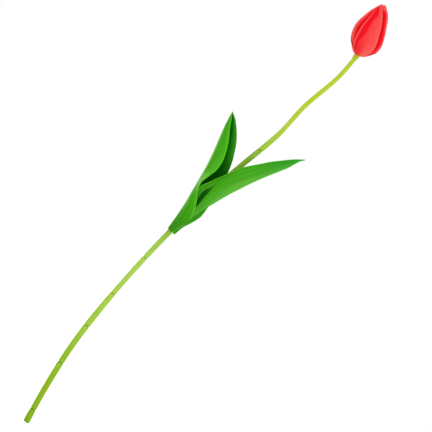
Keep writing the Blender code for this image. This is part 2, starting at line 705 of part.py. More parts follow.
def main():
    clear_scene()
    materials = {
        "stem": make_material("stem_polyethylene", (0.34, 0.58, 0.07), 0.45),
        "upper_stem": make_material("upper_stem_polyethylene", (0.45, 0.68, 0.03), 0.45),
        "leaf": make_material("leaf_polyurethane", (0.06, 0.42, 0.03), 0.5),
        "petal": make_material("petal_polyurethane", (0.95, 0.03, 0.04), 0.5),
        "foam": make_material("bud_foam", (0.85, 0.75, 0.6), 0.9),
        "calyx": make_material("calyx_polyethylene", (0.45, 0.35, 0.02), 0.5),
        "wire": make_material("zinc_plated_wire", (0.6, 0.6, 0.62), 0.35, 1.0),
    }
    stem = Stem()
    bud = Bud(stem)
    parts = Assembly("artificial_tulip")
    add_stem_bodies(parts, stem)
    build_stem(parts, stem, materials)
    build_wires(parts, stem, bud, materials)
    build_bud(parts, bud, materials)
    build_leaves(parts, stem, materials)


if __name__ == "__main__":
    main()
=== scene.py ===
# %% [markdown]
# # An artificial tulip
# The tulip is a single flower of the soft-touch kind: moulded sleeves are threaded on a steel wire,
# two leaves clasp the stem, and a closed red bud sits on top. The CAD frame already holds every
# piece at its real size. This script gives the pieces their looks: finer skins for the stem, leaves
# and petals, procedural materials, soft studio light and a camera at the photograph's angle.
#
# The first step loads the frame.

# %% Load the frame
import json
import math

import bmesh
import bpy
import numpy as np
from mathutils import Matrix, Vector


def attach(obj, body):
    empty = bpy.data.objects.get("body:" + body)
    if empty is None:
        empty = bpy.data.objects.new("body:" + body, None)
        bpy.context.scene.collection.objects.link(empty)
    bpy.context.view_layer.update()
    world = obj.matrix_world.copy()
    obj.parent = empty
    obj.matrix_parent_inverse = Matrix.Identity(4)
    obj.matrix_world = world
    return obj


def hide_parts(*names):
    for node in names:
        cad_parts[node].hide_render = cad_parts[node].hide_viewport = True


MM = 0.001

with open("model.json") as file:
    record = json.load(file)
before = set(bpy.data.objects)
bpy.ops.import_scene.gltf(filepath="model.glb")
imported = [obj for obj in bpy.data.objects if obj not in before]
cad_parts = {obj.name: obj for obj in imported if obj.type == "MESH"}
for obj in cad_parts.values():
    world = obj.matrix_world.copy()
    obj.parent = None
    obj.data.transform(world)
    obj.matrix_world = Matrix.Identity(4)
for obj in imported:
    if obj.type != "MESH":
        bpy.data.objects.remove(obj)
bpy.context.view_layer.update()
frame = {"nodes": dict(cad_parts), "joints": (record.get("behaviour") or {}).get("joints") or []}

# %% [markdown]
# ## Colours, nodes and materials
# Colours are easiest to read as sRGB hex, but a shader works in linear light, so one function turns
# one into the other. One small function adds any node with its settings and inputs, and gives back
# one of its outputs, so a whole pattern reads from top to bottom. A paint job is then a base colour
# under coats of other colours, each with the share of the surface that it covers.

# %% Helpers for colours, nodes, objects and materials
def linear(hex_colour):
    """The linear colour, with alpha, of an sRGB hex colour."""
    channels = [int(hex_colour[start:start + 2], 16) / 255 for start in (1, 3, 5)]
    return [c / 12.92 if c <= 0.04045 else ((c + 0.055) / 1.055) ** 2.4 for c in channels] + [1.0]


def add_node(tree, kind, inputs=(), output=0, **settings):
    """Add a node with its settings, set or link its inputs, and give one of its outputs.

    The inputs are values or sockets, in the node's order or by name or number.
    """
    node = tree.nodes.new(kind)
    for name, value in settings.items():
        setattr(node, name, value)
    for place, value in inputs.items() if isinstance(inputs, dict) else enumerate(inputs):
        if isinstance(value, bpy.types.NodeSocket):
            tree.links.new(value, node.inputs[place])
        else:
            node.inputs[place].default_value = value
    return node.outputs[output]


def add_object(name, data):
    """An object of the scene that shows the data."""
    new = bpy.data.objects.new(name, data)
    bpy.context.scene.collection.objects.link(new)
    return new


def new_material(name, roughness, settings=None):
    """A material with only a Principled shader, and that shader's constants."""
    material = bpy.data.materials.new(name)
    material.use_nodes = True
    shader = material.node_tree.nodes["Principled BSDF"]
    shader.inputs["Roughness"].default_value = roughness
    for socket, value in (settings or {}).items():
        shader.inputs[socket].default_value = value
    return material, material.node_tree, shader


def finish_shader(tree, shader, base, coats, bump=None):
    """Link a base colour under coats of other colours, and a bump that is given by its inputs.

    A coat is the share that it covers, or an attribute's name, and its hex colour. Where noise gives
    the share, three numbers follow: the noise where it starts and is full, and the most it covers.
    """
    for share, colour, *rise in coats:
        if isinstance(share, str):
            share = add_node(tree, "ShaderNodeAttribute", output="Fac", attribute_name=share)
        if rise:
            limits = {"Value": share, "From Min": rise[0], "From Max": rise[1], "To Max": rise[2]}
            share = add_node(tree, "ShaderNodeMapRange", limits, interpolation_type="SMOOTHSTEP")
        base = add_node(tree, "ShaderNodeMix", {0: share, 6: base, 7: linear(colour)}, 2, data_type="RGBA")
    tree.links.new(base, shader.inputs["Base Color"])
    if bump:
        tree.links.new(add_node(tree, "ShaderNodeBump", bump), shader.inputs["Normal"])


print("white is", linear("#FFFFFF"))

# %% [markdown]
# ## The camera
# The photograph looks at the stem squarely, with the flower lying diagonally across the frame. So
# the camera looks along +Y, and is rolled. Two directions describe it: where the picture's right
# and its top point in the tulip's own frame. A long lens at one and a half metres keeps the view
# nearly free of perspective, as it is in the photograph.

# %% Camera
PHOTO_SCALE = 0.85472 * MM
PHOTO_SIDE = 432
PHOTO_ROLL = math.radians(40.634)
VIEW_CENTRE = Vector((8.55, 0.0, 239.4)) * MM
LENS = 150.0
SENSOR = 36.0

picture_right = Vector((math.cos(PHOTO_ROLL), 0.0, math.sin(PHOTO_ROLL)))
picture_up = Vector((-math.sin(PHOTO_ROLL), 0.0, math.cos(PHOTO_ROLL)))
view_width = PHOTO_SIDE * PHOTO_SCALE
view_distance = view_width * LENS / SENSOR

camera_data = bpy.data.cameras.new("camera")
camera_data.lens = LENS
camera_data.sensor_width = SENSOR
camera = add_object("camera", camera_data)
turn = Matrix((picture_right, picture_up, Vector((0.0, -1.0, 0.0)))).transposed().to_4x4()
camera.matrix_world = Matrix.Translation(VIEW_CENTRE - Vector((0.0, view_distance, 0.0))) @ turn
bpy.context.scene.camera = camera
print("the view is", round(view_width / MM, 1), "mm wide at", round(view_distance, 3), "m")

# %% [markdown]
# ## Studio
# A seamless white sweep would hide the edge of the floor. Here the world is white to the camera and
# to mirrors, and a soft grey to everything else, so the tulip is lit at a level at which a colour
# renders about as it is written. The floor is pale and keeps a little of the shadow.

# %% Backdrop, floor and lamps
WORLD_LEVEL = 0.84
FLOOR_GLOW = 0.6
FLOOR_SIDE = 6.0


def seen_plainly(tree):
    """1 for the rays that show a backdrop: from the camera, off a mirror or through glass."""
    rays = tree.nodes.new("ShaderNodeLightPath").outputs
    seen = rays["Is Camera Ray"]
    for kind in ("Is Glossy Ray", "Is Transmission Ray"):
        seen = add_node(tree, "ShaderNodeMath", (seen, rays[kind]), operation="MAXIMUM")
    return seen


world = bpy.data.worlds.new("studio")
world.use_nodes = True
bpy.context.scene.world = world
tree = world.node_tree
background = tree.nodes["Background"]
background.inputs["Color"].default_value = linear("#FFFFFF")
strength = add_node(tree, "ShaderNodeMapRange", {"Value": seen_plainly(tree), "To Min": WORLD_LEVEL})
tree.links.new(strength, background.inputs["Strength"])

paper, tree, shader = new_material("paper_backdrop_matt", 0.9)
shader.inputs["Base Color"].default_value = linear("#F4F4F4")
shader.inputs["Emission Color"].default_value = linear("#FFFFFF")
glow = add_node(tree, "ShaderNodeMath", (seen_plainly(tree), FLOOR_GLOW), operation="MULTIPLY")
tree.links.new(glow, shader.inputs["Emission Strength"])

floor_mesh = bpy.data.meshes.new("floor")
half = FLOOR_SIDE / 2
corners = [(-half, -half, 0), (half, -half, 0), (half, half, 0), (-half, half, 0)]
floor_mesh.from_pydata(corners, [], [(0, 1, 2, 3)])
floor_mesh.materials.append(paper)
floor = add_object("floor", floor_mesh)

# Each lamp: where it stands from the middle of the view, how wide it is, and its power in watts
LAMPS = {
    "key": (Vector((1.2, -1.1, 0.25)), 1.0, 4.0),
    "fill": (Vector((-1.1, -0.9, 0.7)), 1.0, 1.6),
    "back": (Vector((-0.2, 1.3, 0.7)), 1.2, 1.5),
}
for name, (offset, width, power) in LAMPS.items():
    lamp_data = bpy.data.lights.new(name, "AREA")
    lamp_data.size = width
    lamp_data.energy = power
    lamp = add_object(name, lamp_data)
    lamp.location = VIEW_CENTRE + offset
    lamp.rotation_euler = (-offset).to_track_quat("-Z", "Y").to_euler()
bpy.context.scene.view_settings.view_transform = "Standard"
print(len(LAMPS), "lamps")

# %% [markdown]
# ## The line that everything follows
# A smooth curve through a few points serves for the bud's outline, and for the folds and edges of
# the leaves. The stem is different. It is written as a maker bends it, by how far it leans at each
# node, and the lean is then summed along its length into a centreline.

# %% Curves and the stem's centreline
FOOT_CAP_LENGTH = 12.4 * MM
SLEEVE_LENGTHS = [46.3 * MM, 38.5 * MM, 35.4 * MM, 41.1 * MM, 44.7 * MM, 44.7 * MM, 45.5 * MM]
UPPER_STEM_LENGTH = 111.6 * MM
COLLAR_LENGTH = 4.4 * MM
NODE_LEANS = [-12.4, -11.7, -8.4, -2.6, 0.1, 2.1, 4.5, 8.0, 10.7]
UPPER_LEANS = [9.5, 6.8, 1.4, 0.2, 2.4, 7.7, 10.2, 10.2, 7.4, 2.2, -1.7, -2.7]
CENTRELINE_STEP = 0.25 * MM


def smooth_curve(points, shares):
    """Points on a Catmull-Rom curve through the given points, at shares of its length."""
    knots = np.array(points, float)
    steps = np.linalg.norm(np.diff(knots, axis=0), axis=1)
    travel = np.concatenate([[0.0], np.cumsum(steps)])
    slopes = np.gradient(knots, travel, axis=0)
    places = np.asarray(shares) * travel[-1]
    index = np.clip(np.searchsorted(travel, places, side="right") - 1, 0, len(steps) - 1)
    span = steps[index][:, None]
    t = ((places - travel[index])[:, None]) / span
    start_weight = 2 * t**3 - 3 * t**2 + 1
    curve = start_weight * knots[index] + (1 - start_weight) * knots[index + 1]
    curve += (t**3 - 2 * t**2 + t) * span * slopes[index]
    curve += (t**3 - t**2) * span * slopes[index + 1]
    return curve


def smooth_step(value, low, high):
    """0 at low, 1 at high, and an even S between them."""
    share = np.clip((value - low) / (high - low), 0, 1)
    return share * share * (3 - 2 * share)


nodes_at = np.cumsum([FOOT_CAP_LENGTH] + SLEEVE_LENGTHS)
neck_at = nodes_at[-1] + UPPER_STEM_LENGTH
stem_end = neck_at + COLLAR_LENGTH
waves = nodes_at[-1] + (stem_end - nodes_at[-1]) * np.arange(1, len(UPPER_LEANS) + 1) / len(UPPER_LEANS)
lean_places = np.concatenate([[0.0], nodes_at, waves])
travel = np.linspace(0.0, stem_end, round(stem_end / CENTRELINE_STEP) + 1)
leans = np.interp(travel, lean_places, np.radians(NODE_LEANS + UPPER_LEANS))
middle_leans = (leans[1:] + leans[:-1]) / 2
centre_x = np.concatenate([[0.0], np.cumsum(np.sin(middle_leans) * travel[1])])
centre_z = np.concatenate([[0.0], np.cumsum(np.cos(middle_leans) * travel[1])])


def stem_point(distance):
    """The point of the centreline at a distance from the foot, along its last lean beyond its end."""
    past = max(distance - stem_end, 0.0)
    x = np.interp(distance, travel, centre_x) + past * math.sin(leans[-1])
    z = np.interp(distance, travel, centre_z) + past * math.cos(leans[-1])
    return Vector((x, 0.0, z))


centreline_curve = bpy.data.curves.new("centreline", "CURVE")
centreline_curve.dimensions = "3D"
spline = centreline_curve.splines.new("POLY")
spline.points.add(len(travel) - 1)
for point, x, z in zip(spline.points, centre_x, centre_z):
    point.co = (x, 0.0, z, 1.0)
centreline = add_object("centreline", centreline_curve)
hinges = {joint["name"]: Vector(joint["pos_m"]) for joint in frame["joints"]}
print("neck hinge off by", round((stem_point(neck_at) - hinges["neck_bend"]).length / MM, 3), "mm")

# %% [markdown]
# ## A Geometry Nodes tree that turns a sleeve and bends it
# All the stem's pieces share one rule: a profile is turned round an axis, and the straight result
# is bent onto the centreline. A tree of nodes says that once, and each sleeve is one run of it.
#
# The profile is a row of loose points, whose X is a radius and whose Z is a height. A grid gets one
# row for each of them and one column for each step of the turn, and its points are then placed from
# those two numbers. One more row and one more column repeat the first, and merging them closes the
# skin. The straight place is stored as an attribute, because a moulding's flow marks run along the
# sleeve and would otherwise slide over it where it bends.

# %% The tree for a turned and bent sleeve
RELIEF_STRETCH = 4.0
MERGE_DISTANCE = 0.001 * MM


def new_tree(name, sockets):
    """An empty Geometry Nodes tree with a geometry output and the named inputs, and its two ends."""
    tree = bpy.data.node_groups.new(name, "GeometryNodeTree")
    tree.interface.new_socket("Geometry", in_out="OUTPUT", socket_type="NodeSocketGeometry")
    for socket, kind in sockets.items():
        tree.interface.new_socket(socket, in_out="INPUT", socket_type="NodeSocket" + kind)
    return tree, tree.nodes.new("NodeGroupInput").outputs, tree.nodes.new("NodeGroupOutput")


def finish_tree(tree, geometry, material, end):
    """Every tree ends alike: real faces, and their material."""
    real = add_node(tree, "GeometryNodeRealizeInstances", {"Geometry": geometry})
    finished = add_node(tree, "GeometryNodeSetMaterial", {"Geometry": real, "Material": material})
    tree.links.new(finished, end.inputs["Geometry"])


sleeve_tree, given, end = new_tree("turned sleeve on a centreline", {
    "Geometry": "Geometry", "Centreline": "Object", "Start": "Float", "Steps": "Int",
    "Relief": "Float", "Relief Scale": "Float", "Seed": "Float", "Material": "Material",
})
tree, profile = sleeve_tree, given["Geometry"]
count = add_node(tree, "GeometryNodeAttributeDomainSize", {"Geometry": profile}, "Point Count")
rows = add_node(tree, "ShaderNodeMath", (count, 1.0), operation="ADD")
columns = add_node(tree, "ShaderNodeMath", (given["Steps"], 1.0), operation="ADD")
grid = add_node(tree, "GeometryNodeMeshGrid", {"Vertices X": columns, "Vertices Y": rows}, "Mesh")

# Which column and which point of the profile each point of the grid stands for
index = add_node(tree, "GeometryNodeInputIndex")
place = add_node(tree, "ShaderNodeMath", (index, 0.5), operation="ADD")
place = add_node(tree, "ShaderNodeMath", (place, rows), operation="DIVIDE")
column = add_node(tree, "ShaderNodeMath", (place,), operation="FLOOR")
passed = add_node(tree, "ShaderNodeMath", (column, rows), operation="MULTIPLY")
place = add_node(tree, "ShaderNodeMath", (index, passed), operation="SUBTRACT")
row = add_node(tree, "ShaderNodeMath", (place, count), operation="MODULO")
where = add_node(tree, "GeometryNodeInputPosition")
found = {"Geometry": profile, "Value": where, "Index": row}
point = add_node(tree, "GeometryNodeSampleIndex", found, "Value", data_type="FLOAT_VECTOR")
# The neck mark is the share of painted shade on a node's hidden faces, where no relief goes either
hidden_mark = add_node(tree, "GeometryNodeInputNamedAttribute", {"Name": "neck"}, "Attribute")
found = {"Geometry": profile, "Value": hidden_mark, "Index": row}
neck = add_node(tree, "GeometryNodeSampleIndex", found, "Value")

# The turn: the profile's X is a radius, and its Z a height
profile_radius, _, profile_height = add_node(tree, "ShaderNodeSeparateXYZ", (point,)).node.outputs
turned = add_node(tree, "ShaderNodeMath", (column, given["Steps"]), operation="DIVIDE")
angle = add_node(tree, "ShaderNodeMath", (turned, 2 * math.pi), operation="MULTIPLY")
round_x = add_node(tree, "ShaderNodeMath", (angle,), operation="COSINE")
round_y = add_node(tree, "ShaderNodeMath", (angle,), operation="SINE")
height = add_node(tree, "ShaderNodeMath", (profile_height, given["Start"]), operation="ADD")
direction = add_node(tree, "ShaderNodeCombineXYZ", (round_x, round_y, 0.0))

# The relief is a soft unevenness of the skin, stretched along the stem, and none on the neck
ring = add_node(tree, "ShaderNodeVectorMath", {0: direction, "Scale": profile_radius}, operation="SCALE")
slow_height = add_node(tree, "ShaderNodeMath", (height, RELIEF_STRETCH), operation="DIVIDE")
slow_height = add_node(tree, "ShaderNodeCombineXYZ", {2: slow_height})
flow = add_node(tree, "ShaderNodeVectorMath", (ring, slow_height), operation="ADD")
noise = add_node(tree, "ShaderNodeTexNoise", {
    "Vector": flow, "W": given["Seed"], "Scale": given["Relief Scale"], "Detail": 1.0,
}, noise_dimensions="4D")
uneven = add_node(tree, "ShaderNodeMath", (noise, 0.5), operation="SUBTRACT")
swell = add_node(tree, "ShaderNodeMath", (uneven, given["Relief"]), operation="MULTIPLY")
bare = add_node(tree, "ShaderNodeMath", (1.0, neck), operation="SUBTRACT")
radius = add_node(tree, "ShaderNodeMath", (swell, bare, profile_radius), operation="MULTIPLY_ADD")
ring = add_node(tree, "ShaderNodeVectorMath", {0: direction, "Scale": radius}, operation="SCALE")
rise = add_node(tree, "ShaderNodeCombineXYZ", {2: height})
straight = add_node(tree, "ShaderNodeVectorMath", (ring, rise), operation="ADD")
skin = add_node(tree, "GeometryNodeStoreNamedAttribute", {"Geometry": grid, "Name": "neck", "Value": neck})
skin = add_node(tree, "GeometryNodeStoreNamedAttribute", {
    "Geometry": skin, "Name": "straight", "Value": straight,
}, data_type="FLOAT_VECTOR")

# The bend: a place to the side of the centreline, and a place in front of it or behind it
straight_x, straight_y, _ = add_node(tree, "ShaderNodeSeparateXYZ", (straight,)).node.outputs
line = add_node(tree, "GeometryNodeObjectInfo", {"Object": given["Centreline"]}, "Geometry")
reached = {"Curves": line, "Length": height}
middle = add_node(tree, "GeometryNodeSampleCurve", reached, "Position", mode="LENGTH")
tangent = middle.node.outputs["Tangent"]
side = add_node(tree, "ShaderNodeVectorMath", ((0.0, 1.0, 0.0), tangent), operation="CROSS_PRODUCT")
sideways = add_node(tree, "ShaderNodeVectorMath", {0: side, "Scale": straight_x}, operation="SCALE")
backwards = add_node(tree, "ShaderNodeCombineXYZ", {1: straight_y})
bent = add_node(tree, "ShaderNodeVectorMath", (middle, sideways), operation="ADD")
bent = add_node(tree, "ShaderNodeVectorMath", (bent, backwards), operation="ADD")
skin = add_node(tree, "GeometryNodeSetPosition", {"Geometry": skin, "Position": bent})
merged = add_node(tree, "GeometryNodeMergeByDistance", {"Geometry": skin, "Distance": MERGE_DISTANCE})
finish_tree(tree, merged, given["Material"], end)
print(len(tree.nodes), "nodes in", tree.name)

# %% [markdown]
# ## From a tree to a piece
# The modifier's inputs are set by the sockets' identifiers before the object is first evaluated.
# The evaluated object becomes a plain mesh, and only that mesh is kept. The piece is then attached
# to its body, and the CAD node that it stands for is hidden.

# %% Running a tree, and finishing a piece
def add_tree(carrier, tree, values):
    """Put a tree on an object, with its inputs set by name."""
    modifier = carrier.modifiers.new(tree.name, "NODES")
    modifier.node_group = tree
    for item in tree.interface.items_tree:
        if item.item_type == "SOCKET" and item.in_out == "INPUT" and item.name in values:
            modifier[item.identifier] = values[item.name]


def plain_mesh(name, carrier, sharp_angle):
    """The evaluated mesh of an object, which is then removed, with faces that point outwards."""
    bpy.context.view_layer.update()
    graph = bpy.context.evaluated_depsgraph_get()
    mesh = bpy.data.meshes.new_from_object(carrier.evaluated_get(graph), depsgraph=graph)
    bpy.data.objects.remove(carrier)
    mesh.name = name
    build = bmesh.new()
    build.from_mesh(mesh)
    bmesh.ops.recalc_face_normals(build, faces=build.faces)
    build.to_mesh(mesh)
    build.free()
    mesh.shade_smooth()
    mesh.set_sharp_from_angle(angle=math.radians(sharp_angle))
    return mesh


def add_piece(mesh, body, node):
    """A finished piece, named like its mesh, that rides on a body and stands for one CAD node."""
    piece = add_object(mesh.name, mesh)
    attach(piece, body)
    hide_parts(node)
    print(mesh.name, "rides on", body, "with", len(mesh.polygons), "faces")
    return piece


# %% [markdown]
# ## Stem materials
# The sleeves are polyethylene, injection moulded. To the eye that is a satin skin with a soft,
# broad highlight, and faint streaks along the sleeve where the melt flowed. Streaks half a
# millimetre wide would be too fine for the picture, so they are drawn a little wider. The colour
# drifts from green at the foot to a pale lime, then to a darker green under the leaves, which is
# painted shade of the leaves, and then to a bright yellow-green.

# %% Moulded polyethylene
STREAK_WIDTH = 1.1 * MM
STREAK_LENGTH = 14.0 * MM
BLOTCH_SIZE = 7.0 * MM

# Colours of the skin by the distance from the foot in millimetres; the darker stops from 205 mm on, under the
# leaves, are painted shade
STEM_COLOURS = [
    (0, "#80AE06"), (30, "#8EB60E"), (65, "#92BE24"), (100, "#A6D044"), (150, "#B0D456"), (175, "#B0D854"),
    (205, "#96C040"), (240, "#92BE3E"), (288, "#90BC38"), (297, "#80B024"), (304, "#8EBC38"),
]
UPPER_COLOURS = [(304, "#A2D032"), (325, "#AED040"), (342, "#B8D438"), (372, "#BED428"), (418, "#BED430")]
COLLAR_COLOURS = [(417, "#BED434"), (420, "#C2D43C"), (422, "#B8C828"), (424, "#B8B820")]
# Painted shade on the hidden faces of the nodes, and the tone of the soft blotches
NECK_SHADE_AND_BLOTCH_COLOUR = "#74AC00"
STREAK_COLOUR = "#C6E45E"


def polyethylene(name, stops, blotches):
    """A moulded skin: colour by height, pale flow streaks, soft blotches, and necks darkened as painted
    shade.
    """
    material, tree, shader = new_material(name, 0.42, {"Specular IOR Level": 0.1})
    straight = add_node(tree, "ShaderNodeAttribute", output="Vector", attribute_name="straight")
    height = add_node(tree, "ShaderNodeSeparateXYZ", (straight,), 2)
    share = add_node(tree, "ShaderNodeMath", (height, float(stem_end)), operation="DIVIDE")
    ramp = tree.nodes.new("ShaderNodeValToRGB")
    tree.links.new(share, ramp.inputs[0])
    while len(ramp.color_ramp.elements) < len(stops):
        ramp.color_ramp.elements.new(0.5)
    for element, (distance, colour) in zip(ramp.color_ramp.elements, stops):
        element.position = distance * MM / stem_end
        element.color = linear(colour)
    scale = (1 / STREAK_WIDTH, 1 / STREAK_WIDTH, 1 / STREAK_LENGTH)
    stretched = add_node(tree, "ShaderNodeMapping", {"Vector": straight, "Scale": scale})
    streaks = add_node(tree, "ShaderNodeTexNoise", {"Vector": stretched, "Scale": 1.0, "Detail": 2.0})
    spots = add_node(tree, "ShaderNodeTexNoise", {
        "Vector": straight, "Scale": 1 / BLOTCH_SIZE, "Detail": 1.0,
    })
    # The neck coat is painted shade on the ball, the cup's inside and the bore; the blotches are the skin's
    # own uneven tone
    coats = [
        (streaks, STREAK_COLOUR, 0.45, 0.75, 0.25), (spots, NECK_SHADE_AND_BLOTCH_COLOUR, 0.5, 0.7, blotches),
        ("neck", NECK_SHADE_AND_BLOTCH_COLOUR),
    ]
    bump = {"Strength": 0.25, "Distance": 0.1 * MM, "Height": streaks}
    finish_shader(tree, shader, ramp.outputs[0], coats, bump)
    return material


stem_skin = polyethylene("polyethylene_moulded_green", STEM_COLOURS, 0.15)
upper_skin = polyethylene("polyethylene_moulded_yellow_green", UPPER_COLOURS, 0.10)
collar_skin = polyethylene("polyethylene_moulded_olive", COLLAR_COLOURS, 0.1)
print("skins:", stem_skin.name, upper_skin.name, collar_skin.name)

# %% [markdown]
# ## The stem's skins
# The real stem is a row of sleeves pushed onto the wire. Each ends in a rounded lip with a shallow
# cup, and the next one stands in it on a ball. That is why the stem can be bent by hand at its
# nodes. The ball shows as a narrow dark neck: the ball, the inside of the cup and the bore are
# painted a darker green as their shade. The skins keep the CAD's hinges and clearances, and round
# off the lips and shoulders that the plain solids only hint at.

# %% Profiles of the sleeves
FOOT_RADIUS = 2.85 * MM
FOOT_BEAD_RADIUS = 2.75 * MM
SLEEVE_LOW_RADII = [2.65 * MM, 2.70 * MM, 2.90 * MM, 2.45 * MM, 2.20 * MM, 2.25 * MM, 2.30 * MM]
SLEEVE_BEAD_RADII = [2.85 * MM, 2.90 * MM, 2.65 * MM, 2.30 * MM, 2.50 * MM, 2.35 * MM, 2.40 * MM]
UPPER_RADII = [2.35 * MM, 2.28 * MM, 2.00 * MM, 2.00 * MM, 2.02 * MM, 1.98 * MM, 1.90 * MM, 1.90 * MM]
UPPER_END_RADIUS = 1.85 * MM
NECK_BALL_RADIUS = 1.75 * MM
NECK_TAPER = 1.6 * MM
SOCKET_CLEARANCE = 0.20 * MM
SOCKET_RADIUS = NECK_BALL_RADIUS + SOCKET_CLEARANCE
SOCKET_RIM_ANGLE = 8.0
SOCKET_RIM_WALL = 0.18 * MM
COLLAR_TOP_RADIUS = 2.50 * MM
COLLAR_ROUND = 0.2 * MM
CUP_WALL = 0.40 * MM
CUP_CLEARANCE = 0.28 * MM
BEAD_HEIGHT = 0.12 * MM
BEAD_LENGTH = 2.6 * MM
BEAD_BREAK = 0.7
LIP_HEIGHT = 0.9 * MM
SHOULDER_ROUND = 0.45 * MM
FOOT_ROUND = 3 * SHOULDER_ROUND
TILT_CLEARANCE = 0.12 * MM
STEM_BEND_LIMIT = 15.0
BALL_END_ANGLE = 50.0
BORE_RADIUS = 0.75 * MM
FOOT_FLOOR = 2.0 * MM
STATION_SPACING = 2.0 * MM
LEAST_STATIONS = 3
FOOT_STATIONS = 6
FLARE_STATIONS = 8
ARC_POINTS = 7
TURN_STEPS = 32
STEM_SHARP_ANGLE = 50


def cup_radius(rim_radius):
    return rim_radius - CUP_WALL


def ball_radius(rim_radius):
    return cup_radius(rim_radius) - CUP_CLEARANCE


def arc(wide, high, start_degrees, end_degrees, centre=(0.0, 0.0)):
    """Points of an ellipse's arc, as (radius, height)."""
    angles = np.radians(np.linspace(start_degrees, end_degrees, ARC_POINTS))
    return [(centre[0] + wide * math.cos(a), centre[1] + high * math.sin(a)) for a in angles]


def lip(rim_radius, length):
    """Over the rounded rim of a cup and down to the body."""
    rim = arc(CUP_WALL, LIP_HEIGHT, 90, 0, (cup_radius(rim_radius), length - LIP_HEIGHT))
    bead = [
        (rim_radius - BEAD_HEIGHT / 2, length - BEAD_LENGTH * BEAD_BREAK),
        (rim_radius - BEAD_HEIGHT, length - BEAD_LENGTH),
    ]
    return rim + bead


def shoulder(low_radius):
    """Round the lower end of a sleeve, inwards to its ball."""
    tilt = math.radians(STEM_BEND_LIMIT)
    rise = (TILT_CLEARANCE + low_radius * math.sin(tilt)) / math.cos(tilt)
    centre = (low_radius - SHOULDER_ROUND, rise + SHOULDER_ROUND)
    return arc(SHOULDER_ROUND, SHOULDER_ROUND, 0, -90, centre)


def cup_inside(rim_radius, length):
    """Up the inside of a cup, from the bore to its rim."""
    cup = cup_radius(rim_radius)
    bottom = -math.degrees(math.acos(BORE_RADIUS / cup))
    return arc(cup, cup, bottom, 0, (0.0, length))


def marked(points, neck):
    """Profile points with the share of the neck's painted shade that they have."""
    return [(radius, height, neck) for radius, height in points]


def sleeve_profile(length, radii, ball, upper, inside):
    """Down the outer side from the upper end, round the ball, and up the bore."""
    lower = shoulder(radii[0])
    low, high = lower[0][1], upper[-1][1]
    stations = max(LEAST_STATIONS, round((high - low) / STATION_SPACING))
    heights = np.linspace(high, low, stations)[1:-1]
    body_radii = np.append(radii, upper[-1][0])
    widths = np.interp(heights, np.linspace(0, length, len(body_radii)), body_radii)
    knob = arc(ball, ball, STEM_BEND_LIMIT, -BALL_END_ANGLE)
    bore_heights = np.linspace(knob[-1][1], inside[0][1], len(heights))
    bore = [(BORE_RADIUS, height) for height in bore_heights[:-1]]
    return marked(upper + list(zip(widths, heights)) + lower, 0.0) + marked(knob + bore, 1.0)


def cupped_sleeve(length, radii, rim_radius, ball):
    """The whole profile of a sleeve with a cup at its upper end and a ball at its lower one."""
    inside = cup_inside(rim_radius, length)
    return sleeve_profile(length, radii, ball, lip(rim_radius, length), inside) + marked(inside, 1.0)


print("the ball in the foot cap is", round(2 * ball_radius(FOOT_BEAD_RADIUS) / MM, 2), "mm wide")

# %% Foot cap, sleeves, upper stem and collar
RELIEF = 0.10 * MM
RELIEF_SIZE = 6.0 * MM
STEM_BODIES = ["lower_stem", "stem_2", "stem_3", "stem_4", "stem_mid", "stem_mid", "stem_mid"]


def stem_piece(node, body, profile, start, material, seed):
    """Run the sleeve tree on a profile, and make the result a piece."""
    points = bpy.data.meshes.new(node + "_profile")
    points.from_pydata([(radius, 0.0, height) for radius, height, _ in profile], [], [])
    necks = points.attributes.new("neck", "FLOAT", "POINT")
    necks.data.foreach_set("value", [neck for _, _, neck in profile])
    carrier = add_object(node + "_profile", points)
    add_tree(carrier, sleeve_tree, {
        "Centreline": centreline, "Start": float(start), "Steps": TURN_STEPS, "Relief": RELIEF,
        "Relief Scale": 1 / RELIEF_SIZE, "Seed": float(seed), "Material": material,
    })
    return add_piece(plain_mesh(node + "_skin", carrier, STEM_SHARP_ANGLE), body, node)


# The foot cap has a lip like a sleeve's, and is rounded over below
side_heights = np.linspace(FOOT_CAP_LENGTH - BEAD_LENGTH, FOOT_ROUND, FOOT_STATIONS)[1:-1]
outside = lip(FOOT_BEAD_RADIUS, FOOT_CAP_LENGTH) + [(FOOT_RADIUS, height) for height in side_heights]
outside += arc(FOOT_ROUND / 2, FOOT_ROUND, 0, -90, (FOOT_RADIUS - FOOT_ROUND / 2, FOOT_ROUND))
foot = marked(cup_inside(FOOT_BEAD_RADIUS, FOOT_CAP_LENGTH), 1.0) + marked(outside + [(0.0, 0.0)], 0.0)
foot += marked([(0.0, FOOT_FLOOR), (BORE_RADIUS, FOOT_FLOOR)], 1.0)
stem_piece("foot_cap", "lower_stem", foot, 0.0, stem_skin, 0)
rims = [FOOT_BEAD_RADIUS] + SLEEVE_BEAD_RADII
for index, length in enumerate(SLEEVE_LENGTHS):
    name = f"stem_sleeve_{index + 1}"
    profile = cupped_sleeve(length, [SLEEVE_LOW_RADII[index]], rims[index + 1], ball_radius(rims[index]))
    stem_piece(name, STEM_BODIES[index], profile, nodes_at[index], stem_skin, index + 1)

# The upper stem ends in a ball, and the collar is a socket over it, so the bud can nod
length = UPPER_STEM_LENGTH
ball_top = math.degrees(math.acos(BORE_RADIUS / NECK_BALL_RADIUS))
ball = arc(NECK_BALL_RADIUS, NECK_BALL_RADIUS, ball_top, 0, (0.0, length))
taper = [(NECK_BALL_RADIUS, length - NECK_TAPER / 2), (UPPER_END_RADIUS, length - NECK_TAPER)]
profile = sleeve_profile(length, UPPER_RADII, ball_radius(rims[-1]), taper, ball) + marked(ball, 0.0)
stem_piece("upper_stem", "upper_stem_body", profile, nodes_at[-1], upper_skin, 8)

